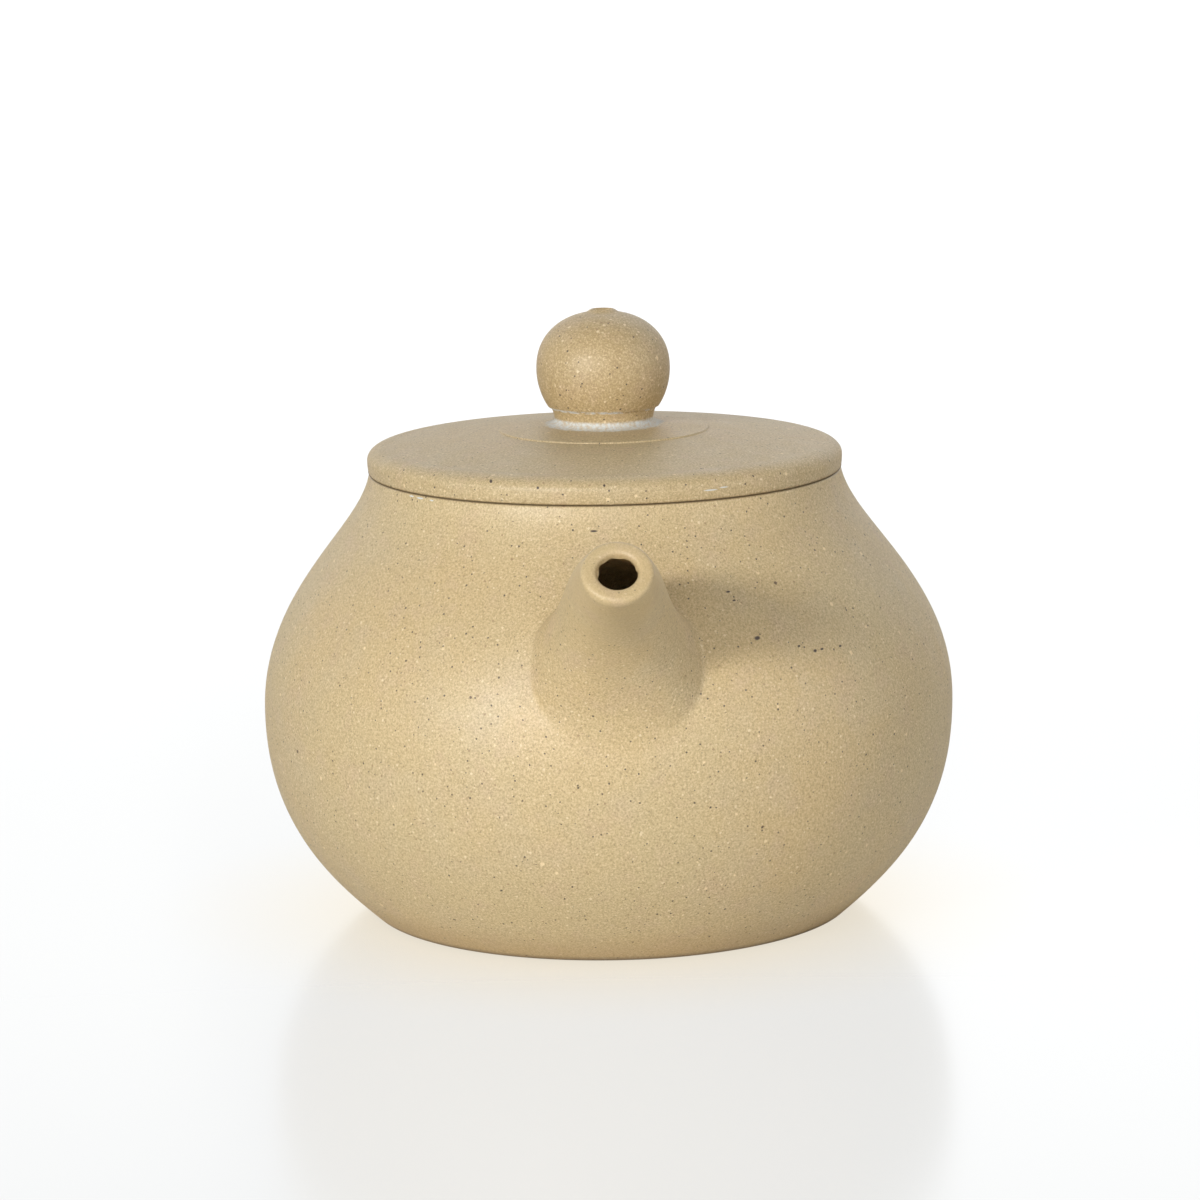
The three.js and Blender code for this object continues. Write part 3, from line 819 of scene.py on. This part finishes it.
class Nodes:
    """Short calls for building a material's node tree."""

    def __init__(self, name):
        self.material = bpy.data.materials.new(name)
        self.material.use_nodes = True
        self.tree = self.material.node_tree
        self.shader = self.tree.nodes["Principled BSDF"]
        coordinates = self.tree.nodes.new("ShaderNodeTexCoord")
        self.place = self.vector("MULTIPLY", coordinates.outputs["Object"], (1 / MM,) * 3)

    def link(self, socket, value):
        if isinstance(value, bpy.types.NodeSocket):
            self.tree.links.new(value, socket)
        else:
            socket.default_value = value

    def math(self, operation, first, second=0.0, third=None):
        node = self.tree.nodes.new("ShaderNodeMath")
        node.operation = operation
        self.link(node.inputs[0], first)
        self.link(node.inputs[1], second)
        if third is not None:
            self.link(node.inputs[2], third)
        return node.outputs[0]

    def vector(self, operation, *values):
        node = self.tree.nodes.new("ShaderNodeVectorMath")
        node.operation = operation
        for socket, value in zip(node.inputs, values):
            self.link(socket, value)
        return node.outputs["Value" if operation == "LENGTH" else "Vector"]

    def noise(self, size, detail=2.0, rough=0.5, shift=0.0):
        """Noise whose features are about size millimetres wide.

        The shift keeps it out of step with the other noises.
        """
        node = self.tree.nodes.new("ShaderNodeTexNoise")
        moved = self.vector("ADD", self.place, (shift, shift * 0.7, shift * 1.3))
        self.link(node.inputs["Vector"], moved)
        node.inputs["Scale"].default_value = 1 / size
        node.inputs["Detail"].default_value = detail
        node.inputs["Roughness"].default_value = rough
        return node.outputs["Fac"]

    def grains(self, spacing, smallest, largest, share, shift=0.0, edge=0.24):
        """Mask of scattered grains: radii in millimetres, and the share of cells that hold one."""
        moved = self.vector("ADD", self.place, (shift, -shift, shift * 0.6))
        wobble = self.tree.nodes.new("ShaderNodeTexNoise")
        wobble.inputs["Scale"].default_value = 1.6 / largest
        self.link(wobble.inputs["Vector"], moved)
        centred = self.vector("SUBTRACT", wobble.outputs["Color"], (0.5, 0.5, 0.5))
        cells = self.tree.nodes.new("ShaderNodeTexVoronoi")
        cells.inputs["Scale"].default_value = 1 / spacing
        cells.inputs["Randomness"].default_value = 1.0
        wandering = self.vector("MULTIPLY_ADD", centred, (largest, largest, largest), moved)
        self.link(cells.inputs["Vector"], wandering)
        parts = self.tree.nodes.new("ShaderNodeSeparateColor")
        self.link(parts.inputs[0], cells.outputs["Color"])
        distance = self.math("MULTIPLY", cells.outputs["Distance"], spacing)
        span = self.math("MULTIPLY_ADD", parts.outputs[1], largest - smallest, smallest)
        inside = self.math("SUBTRACT", span, distance)
        soft = self.math("DIVIDE", inside, edge * largest)
        mask = self.math("MINIMUM", self.math("MAXIMUM", soft, 0.0), 1.0)
        held = self.math("LESS_THAN", parts.outputs[0], share)
        return self.math("MULTIPLY", mask, held)

    def split(self, vector):
        """The three parts of a vector."""
        node = self.tree.nodes.new("ShaderNodeSeparateXYZ")
        self.link(node.inputs[0], vector)
        return node.outputs[0], node.outputs[1], node.outputs[2]

    def ramp(self, value, low, high):
        """Straightens a value so that low gives 0 and high gives 1."""
        node = self.tree.nodes.new("ShaderNodeMapRange")
        self.link(node.inputs["Value"], value)
        node.inputs["From Min"].default_value = low
        node.inputs["From Max"].default_value = high
        return node.outputs["Result"]

    def mix(self, share, first, second):
        node = self.tree.nodes.new("ShaderNodeMix")
        node.data_type = "RGBA"
        self.link(node.inputs["Factor"], share)
        self.link(node.inputs["A"], first)
        self.link(node.inputs["B"], second)
        return next(socket for socket in node.outputs if socket.type == "RGBA")

    def bump(self, height, distance, strength, below=None):
        node = self.tree.nodes.new("ShaderNodeBump")
        node.inputs["Distance"].default_value = distance * MM
        node.inputs["Strength"].default_value = strength
        self.link(node.inputs["Height"], height)
        if below is not None:
            self.link(node.inputs["Normal"], below)
        return node.outputs["Normal"]


def screen_colour(red, green, blue):
    """Colour as it looks on the screen, 0 to 255, as the shader's linear colour."""
    out = []
    for level in (red, green, blue):
        share = level / 255
        out.append(share / 12.92 if share <= 0.04045 else ((share + 0.055) / 1.055) ** 2.4)
    return (*out, 1.0)


# Clay: sizes are in millimetres, and a share says how strongly a layer's colour is laid on
CLAY_GLOSS = 0.6
TONE_SIZE = 26
PATCH_SIZE = 9
PATCH_SHARE = 0.60
BLUSH_SIZE = 4.2
BLUSH_SHARE = 0.40
BLUSH_TONE = screen_colour(200, 172, 140)
SAND_SIZE = 0.26
SAND_SHARE = 0.75
SAND_LIGHT = screen_colour(232, 212, 172)
SAND_DARK = screen_colour(150, 127, 92)
ROUGHNESS_SIZE = 3.0
ROUGHNESS_SPREAD = 0.16
WIPED_AWAY = 0.55      # share of the grain that is lost where a piece was wiped smooth

# Bumps: their depth in millimetres and their strength
SAND_BUMP = (0.05, 0.5)
PIT_BUMP = (0.035, 0.5)
SLOW_BUMP = (0.12, 0.22)
SLOW_BUMP_SIZE = 2.4

# Base colours of each clay: its body, and its warm and cool patches
TONES = (
    screen_colour(199, 178, 134),
    screen_colour(203, 177, 129),
    screen_colour(197, 178, 142),
)
# Painted shade: the lid's colours are darker copies of the body's
SHADED_LID_TONES = (
    screen_colour(191, 170, 127),
    screen_colour(193, 168, 122),
    screen_colour(190, 171, 134),
)
# Partly painted shade and partly the knob's browner clay: darker, browner copies of the body's
# colours
BROWNER_SHADED_KNOB_TONES = (
    screen_colour(182, 159, 115),
    screen_colour(185, 157, 110),
    screen_colour(180, 160, 122),
)
# Darker copies of the body's colours for the pieces inside the pot
INNER_TONES = (
    screen_colour(189, 167, 124),
    screen_colour(191, 165, 119),
    screen_colour(187, 168, 130),
)

# Scattered grains: spacing of their cells, smallest and largest radius, share of the cells that
# hold one, strength and colour, and a shift that keeps them out of step with the other grains
Grains = namedtuple("Grains", "spacing smallest largest held strength tint shift")
CREAM_GRAINS = Grains(0.90, 0.10, 0.20, 0.42, 0.60, screen_colour(242, 224, 186), 2.0)
LARGE_CREAM_GRAINS = Grains(2.3, 0.17, 0.32, 0.50, 0.65, screen_colour(244, 221, 176), 7.0)
BROWN_GRAINS = Grains(1.10, 0.10, 0.19, 0.55, 0.50, screen_colour(138, 102, 68), 13.0)
PINHOLES = Grains(0.95, 0.08, 0.16, 0.70, 0.88, screen_colour(60, 48, 38), 21.0)
IRON_GRAINS = Grains(5.0, 0.17, 0.30, 0.40, 0.85, screen_colour(80, 54, 38), 31.0)


def grain_fade(n, near, far):
    """Grain strength: full near the body and weaker where the piece was wiped smooth."""
    away = n.math("ABSOLUTE", n.split(n.place)[0])
    return n.math("MULTIPLY_ADD", n.ramp(away, near, far), -WIPED_AWAY, 1.0)


def clay(name, body, warm, cool, coarse=1.0, rough=0.5, fade=None, extra=None, creamy=1.0):
    """Sandy stoneware: a fine grain with cream and dark particles and slow changes of tone."""
    n = Nodes(name)
    strength = coarse if fade is None else grain_fade(n, *fade)

    def layer(colour, mask, share, tint):
        return n.mix(n.math("MULTIPLY", n.math("MULTIPLY", mask, share), strength), colour, tint)

    def scatter(colour, grains, more=1.0):
        mask = n.grains(
            grains.spacing,
            grains.smallest,
            grains.largest * more,
            min(1.0, grains.held * more),
            grains.shift,
        )
        return layer(colour, mask, grains.strength, grains.tint), mask

    tone = n.ramp(n.noise(TONE_SIZE, 3.0, 0.55), 0.35, 0.65)
    colour = n.mix(tone, warm, body)
    patch = n.ramp(n.noise(PATCH_SIZE, 3.0, 0.6, 11.0), 0.48, 0.75)
    colour = n.mix(n.math("MULTIPLY", patch, PATCH_SHARE), colour, cool)
    blush = n.ramp(n.noise(BLUSH_SIZE, 3.0, 0.6, 15.0), 0.52, 0.72)
    colour = n.mix(n.math("MULTIPLY", blush, BLUSH_SHARE), colour, BLUSH_TONE)
    sand = n.noise(SAND_SIZE, 3.0, 0.8, 4.0)
    colour = layer(colour, n.ramp(sand, 0.5, 0.70), SAND_SHARE, SAND_LIGHT)
    colour = layer(colour, n.ramp(sand, 0.5, 0.30), SAND_SHARE, SAND_DARK)
    colour, cream = scatter(colour, CREAM_GRAINS, creamy)
    colour, _ = scatter(colour, LARGE_CREAM_GRAINS, creamy)
    colour, _ = scatter(colour, BROWN_GRAINS)
    colour, dark = scatter(colour, PINHOLES)
    colour, _ = scatter(colour, IRON_GRAINS)
    uneven = n.noise(ROUGHNESS_SIZE, 2.0, 0.5, 17.0)
    roughness = n.math("MULTIPLY_ADD", uneven, ROUGHNESS_SPREAD, rough - ROUGHNESS_SPREAD / 2)
    if extra is not None:
        colour, roughness = extra(n, colour, roughness)
    n.link(n.shader.inputs["Base Color"], colour)
    n.link(n.shader.inputs["Roughness"], roughness)
    n.shader.inputs["Specular IOR Level"].default_value = CLAY_GLOSS
    sand_normal = n.bump(sand, SAND_BUMP[0], SAND_BUMP[1] * coarse)
    pits = n.math("SUBTRACT", cream, dark)
    pit_normal = n.bump(pits, PIT_BUMP[0], PIT_BUMP[1] * coarse, sand_normal)
    slow = n.noise(SLOW_BUMP_SIZE, 2.0, 0.5, 23.0)
    n.link(n.shader.inputs["Normal"], n.bump(slow, *SLOW_BUMP, pit_normal))
    return n.material


def spot(n, centre, half_sizes):
    """Mask of one soft-edged mark: its middle and its half sizes in millimetres."""
    away = n.vector("DIVIDE", n.vector("SUBTRACT", n.place, centre), half_sizes)
    return n.ramp(n.vector("LENGTH", away), 1.25, 0.75)


# Iron specks that stand out in the photograph: middle, half sizes
BODY_SPECKS = (
    ((36.6, 17.7, 42.0), (1.0, 0.34, 0.22)),
    ((34.1, 14.3, 47.4), (1.0, 0.26, 0.11)),
    ((34.5, 15.0, 46.4), (1.0, 0.20, 0.10)),
    ((31.6, -2.1, 54.9), (1.0, 0.42, 0.12)),
    ((34.6, 22.95, 40.5), (1.0, 0.16, 0.13)),
    ((33.7, 25.0, 39.7), (1.0, 0.22, 0.16)),
    ((33.0, 25.9, 39.75), (1.0, 0.20, 0.13)),
    ((31.0, 28.3, 39.7), (1.0, 0.18, 0.12)),
)
LID_SPECKS = (
    ((26.7, -14.7, 60.6), (1.0, 0.18, 0.20)),
    ((29.4, -8.9, 60.1), (1.0, 0.16, 0.16)),
    ((30.7, -0.7, 60.4), (1.0, 0.15, 0.15)),
)
# Whitish dashes: middle, half sizes
BODY_DASHES = (
    ((19.5, -23.7, 57.5), (0.8, 0.5, 0.11)),
    ((18.1, -24.8, 57.55), (0.6, 0.3, 0.10)),
    ((21.2, -22.2, 57.45), (0.5, 0.25, 0.09)),
)
LID_DASHES = (
    ((28.2, 12.5, 59.2), (0.6, 1.0, 0.09)),
    ((27.4, 14.2, 59.4), (0.5, 0.6, 0.08)),
)
SPECK_COLOUR = screen_colour(62, 46, 34)
DASH_SHARE = 0.8
# Painted shade: the dark colour laid in the gap where the lid meets the body, and in the band
# where the pot stands on the table
PAINTED_SHADE_COLOUR = screen_colour(84, 66, 44)
SEAM_SHADE_SHARE = 0.7
SEAM_SHADE_LINE = (0.21, 0.07)       # distances from the seam where the line has faded and is full
SEAM_SHADE_INWARDS = (0.55, 0.25)    # the same, inwards from the seat's outside edge
# Painted shade where the pot stands on the table: a dark band on the lowest part of the body
CONTACT_SHADE_HEIGHT = 0.8
CONTACT_SHADE_SHARE = 0.6
# Darker, warmer colour laid on the lowest part of the body, fading out upwards
FOOT_TONE = screen_colour(166, 134, 84)
FOOT_TONE_HEIGHT = 5.0
FOOT_TONE_SHARE = 0.5
RESIDUE_COLOUR = screen_colour(214, 219, 219)
RESIDUE_WIDTH = 0.45       # least width of the pale ring round the neck
RESIDUE_RAGGED = 1.1       # how far its edge wanders past that
RESIDUE_ROUGHER = 0.3
RING_SHARE = 0.9
CREASE_SHARE = 0.75


def from_axis(n, across, along):
    """Distance from the pot's axis."""
    squares = n.math("ADD", n.math("MULTIPLY", across, across), n.math("MULTIPLY", along, along))
    return n.math("SQRT", squares)


def seam_shade(n, radius, height):
    """Mask of the thin dark line of painted shade where the lid meets the body, and not of the
    seat itself.
    """
    away = n.math("ABSOLUTE", n.math("SUBTRACT", height, BODY_HEIGHT))
    outside = n.ramp(radius, *(SEAT_RADIUS - inwards for inwards in SEAM_SHADE_INWARDS))
    return n.math("MULTIPLY", n.math("MULTIPLY", n.ramp(away, *SEAM_SHADE_LINE), outside), SEAM_SHADE_SHARE)


def spots(n, colour, specks, dashes):
    """Lays dark specks and whitish dashes over a colour."""
    for centre, half_sizes in specks:
        colour = n.mix(spot(n, centre, half_sizes), colour, SPECK_COLOUR)
    for centre, half_sizes in dashes:
        mask = n.math("MULTIPLY", spot(n, centre, half_sizes), DASH_SHARE)
        colour = n.mix(mask, colour, RESIDUE_COLOUR)
    return colour


def body_marks_and_shade(n, colour, roughness):
    """Specks, the darker, warmer colour towards the foot, and painted shade: dark lines at the
    seat and at the table.
    """
    colour = spots(n, colour, BODY_SPECKS, BODY_DASHES)
    across, along, height = n.split(n.place)
    # Darker, warmer colour towards the foot
    low = n.ramp(height, FOOT_TONE_HEIGHT, 0.0)
    colour = n.mix(n.math("MULTIPLY", low, FOOT_TONE_SHARE), colour, FOOT_TONE)
    # Painted shade at the table: the dark band on the lowest part of the body
    contact_shade = n.math("MULTIPLY", n.ramp(height, CONTACT_SHADE_HEIGHT, 0.2), CONTACT_SHADE_SHARE)
    # One mask of painted shade: the line at the seat and the band at the table
    dark = n.math("MAXIMUM", seam_shade(n, from_axis(n, across, along), height), contact_shade)
    return n.mix(dark, colour, PAINTED_SHADE_COLOUR), roughness


def residue_ring(n, radius, height):
    """Mask of the pale residue on the pad, round the foot of the neck."""
    ragged = n.noise(0.7, 3.0, 0.7, 41.0)
    loose = n.noise(2.6, 2.0, 0.5, 43.0)
    wander = n.math("MULTIPLY_ADD", ragged, RESIDUE_RAGGED, loose)
    edge = n.math("ADD", wander, NECK_RADIUS + RESIDUE_WIDTH)
    foot = n.ramp(n.math("SUBTRACT", edge, radius), 0.0, 0.5)
    low = n.ramp(height, COLLAR_TOP + 0.35, COLLAR_TOP + 0.05)
    high_enough = n.ramp(height, PAD_EDGE_TOP - 0.1, PAD_EDGE_TOP + 0.1)
    ring = n.math("MULTIPLY", n.math("MULTIPLY", foot, low), high_enough)
    ring = n.math("MULTIPLY", ring, n.ramp(n.noise(0.45, 3.0, 0.7, 47.0), 0.25, 0.60))
    return n.math("MULTIPLY", ring, RING_SHARE)


def residue_line(n, radius, along, height):
    """Mask of the broken pale line in the crease under the ball."""
    gap = n.math("ABSOLUTE", n.math("SUBTRACT", height, NECK_TOP - 0.02))
    line = n.ramp(gap, 0.24, 0.10)
    leaning = n.math("MULTIPLY_ADD", along, -0.018, n.noise(1.3, 3.0, 0.7, 53.0))
    patchy = n.ramp(leaning, 0.42, 0.56)
    outside = n.ramp(radius, NECK_RADIUS - 0.2, NECK_RADIUS + 0.1)
    crease = n.math("MULTIPLY", n.math("MULTIPLY", line, patchy), outside)
    return n.math("MULTIPLY", crease, CREASE_SHARE)


def lid_marks_and_seam_shade(n, colour, roughness):
    """Specks on the bead, painted shade as a dark line at the seat, and the pale residue round the
    neck.
    """
    colour = spots(n, colour, LID_SPECKS, LID_DASHES)
    across, along, height = n.split(n.place)
    radius = from_axis(n, across, along)
    # Painted shade: the dark line where the lid meets the body
    colour = n.mix(seam_shade(n, radius, height), colour, PAINTED_SHADE_COLOUR)
    ring = residue_ring(n, radius, height)
    residue = n.math("MAXIMUM", ring, residue_line(n, radius, along, height))
    colour = n.mix(residue, colour, RESIDUE_COLOUR)
    return colour, n.math("MULTIPLY_ADD", residue, RESIDUE_ROUGHER, roughness)


# Stage
FLOOR_HALF_SIZE = 3.0      # metres
FLOOR_ROUGHNESS = 0.18
FLOOR_GLOSS = 0.12
FLOOR_COLOUR = (0.90, 0.91, 0.91, 1)
FLOOR_EVEN_COLOUR = (0.99, 1.0, 1.0, 1)
FLOOR_EVEN_LEVEL = 0.79
FLOOR_EVEN_SHARE = 0.93
# Painted reflection: near the foot the camera's even white turns to the clay's warm colour, as the
# pot reflected in the board
PAINTED_REFLECTION_COLOUR = (1.02, 0.945, 0.80, 1)
PAINTED_REFLECTION_REACH = 62.0    # millimetres from the axis
PAINTED_REFLECTION_FALL = 1.5
WORLD_COLOUR = (0.98, 0.99, 1.0, 1)
WORLD_LIGHT = 0.09
LAMP_TARGET = Vector((0, 0, 0.035))
# Lamps: name, azimuth and elevation in degrees from the spout's side, distance, width and
# height in metres, and power in watts
LAMPS = (
    ("key", -35.5, 17, 1.1, 0.22, 0.15, 7.7),
    ("front", 0, 10, 1.1, 0.8, 0.8, 3.7),
    ("side", 60, 9, 1.1, 0.8, 0.8, 3.2),
    ("back_right", 150, 38, 1.3, 1.2, 1.2, 3.4),
    ("back_left", -150, 38, 1.3, 1.2, 1.2, 2.2),
)


def white_table():
    """Glossy white board; the camera sees most of its shading replaced by an even white.

    Close round the foot that white is tinted with the clay's warm tone: a painted reflection of
    the pot in the glossy board.
    """
    n = Nodes("white_table")
    even = n.tree.nodes.new("ShaderNodeBsdfPrincipled")
    for side in (n.shader, even):
        side.inputs["Roughness"].default_value = FLOOR_ROUGHNESS
        side.inputs["Specular IOR Level"].default_value = FLOOR_GLOSS
    n.shader.inputs["Base Color"].default_value = FLOOR_COLOUR
    even.inputs["Base Color"].default_value = (0, 0, 0, 1)
    even.inputs["Emission Strength"].default_value = FLOOR_EVEN_LEVEL
    across, along, _ = n.split(n.place)
    # Painted reflection of the pot close round its foot
    reflection_ramp = n.ramp(from_axis(n, across, along), PAINTED_REFLECTION_REACH, BASE_RADIUS)
    near = n.math("POWER", reflection_ramp, PAINTED_REFLECTION_FALL)
    n.link(even.inputs["Emission Color"], n.mix(near, FLOOR_EVEN_COLOUR, PAINTED_REFLECTION_COLOUR))
    path = n.tree.nodes.new("ShaderNodeLightPath")
    mixed = n.tree.nodes.new("ShaderNodeMixShader")
    n.link(mixed.inputs[0], n.math("MULTIPLY", path.outputs["Is Camera Ray"], FLOOR_EVEN_SHARE))
    n.link(mixed.inputs[1], n.shader.outputs[0])
    n.link(mixed.inputs[2], even.outputs[0])
    n.link(n.tree.nodes["Material Output"].inputs["Surface"], mixed.outputs[0])
    return n.material


def make_floor():
    half = FLOOR_HALF_SIZE
    mesh = bpy.data.meshes.new("floor")
    mesh.from_pydata(
        [(-half, -half, 0), (half, -half, 0), (half, half, 0), (-half, half, 0)],
        [],
        [(0, 1, 2, 3)],
    )
    floor = bpy.data.objects.new("floor", mesh)
    bpy.context.collection.objects.link(floor)
    floor.data.materials.append(white_table())


def make_world():
    """Dim light from all round; the camera and reflections see plain white instead."""
    world = bpy.data.worlds.new("studio")
    bpy.context.scene.world = world
    world.use_nodes = True
    tree = world.node_tree
    lit = tree.nodes["Background"]
    lit.inputs["Color"].default_value = WORLD_COLOUR
    lit.inputs["Strength"].default_value = WORLD_LIGHT
    white = tree.nodes.new("ShaderNodeBackground")
    white.inputs["Color"].default_value = (1, 1, 1, 1)
    white.inputs["Strength"].default_value = 1.0
    path = tree.nodes.new("ShaderNodeLightPath")
    seen = path.outputs["Is Camera Ray"]
    for kind in ("Is Glossy Ray", "Is Transmission Ray"):
        either = tree.nodes.new("ShaderNodeMath")
        either.operation = "MAXIMUM"
        tree.links.new(seen, either.inputs[0])
        tree.links.new(path.outputs[kind], either.inputs[1])
        seen = either.outputs[0]
    mixed = tree.nodes.new("ShaderNodeMixShader")
    tree.links.new(seen, mixed.inputs[0])
    tree.links.new(lit.outputs[0], mixed.inputs[1])
    tree.links.new(white.outputs[0], mixed.inputs[2])
    tree.links.new(mixed.outputs[0], tree.nodes["World Output"].inputs["Surface"])


def direction(azimuth, elevation):
    """Unit vector at an azimuth from the spout and an elevation."""
    return Vector((
        math.cos(elevation) * math.cos(azimuth),
        math.cos(elevation) * math.sin(azimuth),
        math.sin(elevation),
    ))


def add_soft_box(name, azimuth, elevation, distance, width, height, power):
    """Rectangular lamp that faces the pot."""
    light = bpy.data.lights.new(name, "AREA")
    light.shape = "RECTANGLE"
    light.size = width
    light.size_y = height
    light.energy = power
    lamp = bpy.data.objects.new(name, light)
    bpy.context.collection.objects.link(lamp)
    away = direction(math.radians(azimuth), math.radians(elevation))
    lamp.location = LAMP_TARGET + away * distance
    lamp.rotation_euler = away.to_track_quat("Z", "Y").to_euler()


# Camera: the place and lens that put the pot's outline where the photograph has it
CAMERA_DISTANCE = 0.600
CAMERA_HEIGHT = 0.15065
CAMERA_AZIMUTH = math.radians(-1.1)
CAMERA_PITCH = math.radians(10.41)
CAMERA_YAW = math.radians(0.088)
CAMERA_ROLL = math.radians(-0.965)
CAMERA_LENS = 140.0
CAMERA_SENSOR = 36.0


def make_camera():
    data = bpy.data.cameras.new("camera")
    data.lens = CAMERA_LENS
    data.sensor_fit = "HORIZONTAL"
    data.sensor_width = CAMERA_SENSOR
    data.clip_start = 0.01
    camera = bpy.data.objects.new("camera", data)
    bpy.context.collection.objects.link(camera)
    forward = -direction(CAMERA_AZIMUTH + CAMERA_YAW, CAMERA_PITCH)
    level = forward.cross(Vector((0, 0, 1))).normalized()
    upright = level.cross(forward)
    right = level * math.cos(CAMERA_ROLL) + upright * math.sin(CAMERA_ROLL)
    up = upright * math.cos(CAMERA_ROLL) - level * math.sin(CAMERA_ROLL)
    place = Vector((
        CAMERA_DISTANCE * math.cos(CAMERA_AZIMUTH),
        CAMERA_DISTANCE * math.sin(CAMERA_AZIMUTH),
        CAMERA_HEIGHT,
    ))
    camera.matrix_world = Matrix((
        (right.x, up.x, -forward.x, place.x),
        (right.y, up.y, -forward.y, place.y),
        (right.z, up.z, -forward.z, place.z),
        (0, 0, 0, 1),
    ))
    bpy.context.scene.camera = camera


make_camera()
make_floor()
make_world()
for lamp in LAMPS:
    add_soft_box(*lamp)
bpy.context.scene.view_settings.view_transform = "Standard"

clay_body = clay("clay", *TONES, extra=body_marks_and_shade)
clay_lid = clay("clay_lid", *SHADED_LID_TONES, extra=lid_marks_and_seam_shade)
clay_knob = clay("clay_knob", *BROWNER_SHADED_KNOB_TONES, extra=lid_marks_and_seam_shade, creamy=1.25)
clay_smooth = clay("clay_smooth", *TONES, rough=0.48, fade=(46.0, 60.0))
clay_inner = clay("clay_inner", *INNER_TONES, coarse=0.9, rough=0.7)

# What makes each piece, the node that it replaces, its body, its slot and its material
PIECES = (
    (make_base_disc, "base_disc", "pot", "clay", clay_body),
    (make_body_wall, "body_wall", "pot", "clay", clay_body),
    (make_mouth_ring, "mouth_ring", "pot", "clay", clay_body),
    (make_spout, "spout", "pot", "clay_smooth", clay_smooth),
    (make_strainer, "strainer", "pot", "clay_inner", clay_inner),
    (make_handle, "handle", "pot", "clay_smooth", clay_smooth),
    (make_lid_plate, "lid_plate", "lid", "clay", clay_lid),
    (make_lid_flange, "lid_flange", "lid", "clay_inner", clay_inner),
    (make_knob_pad, "knob_pad", "lid", "clay", clay_lid),
    (make_knob, "knob", "lid", "clay", clay_knob),
)
for make, node, body, slot, material in PIECES:
    piece = make()
    piece.data.materials.clear()
    piece.data.materials.append(material)
    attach(piece, body)
    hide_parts(node)
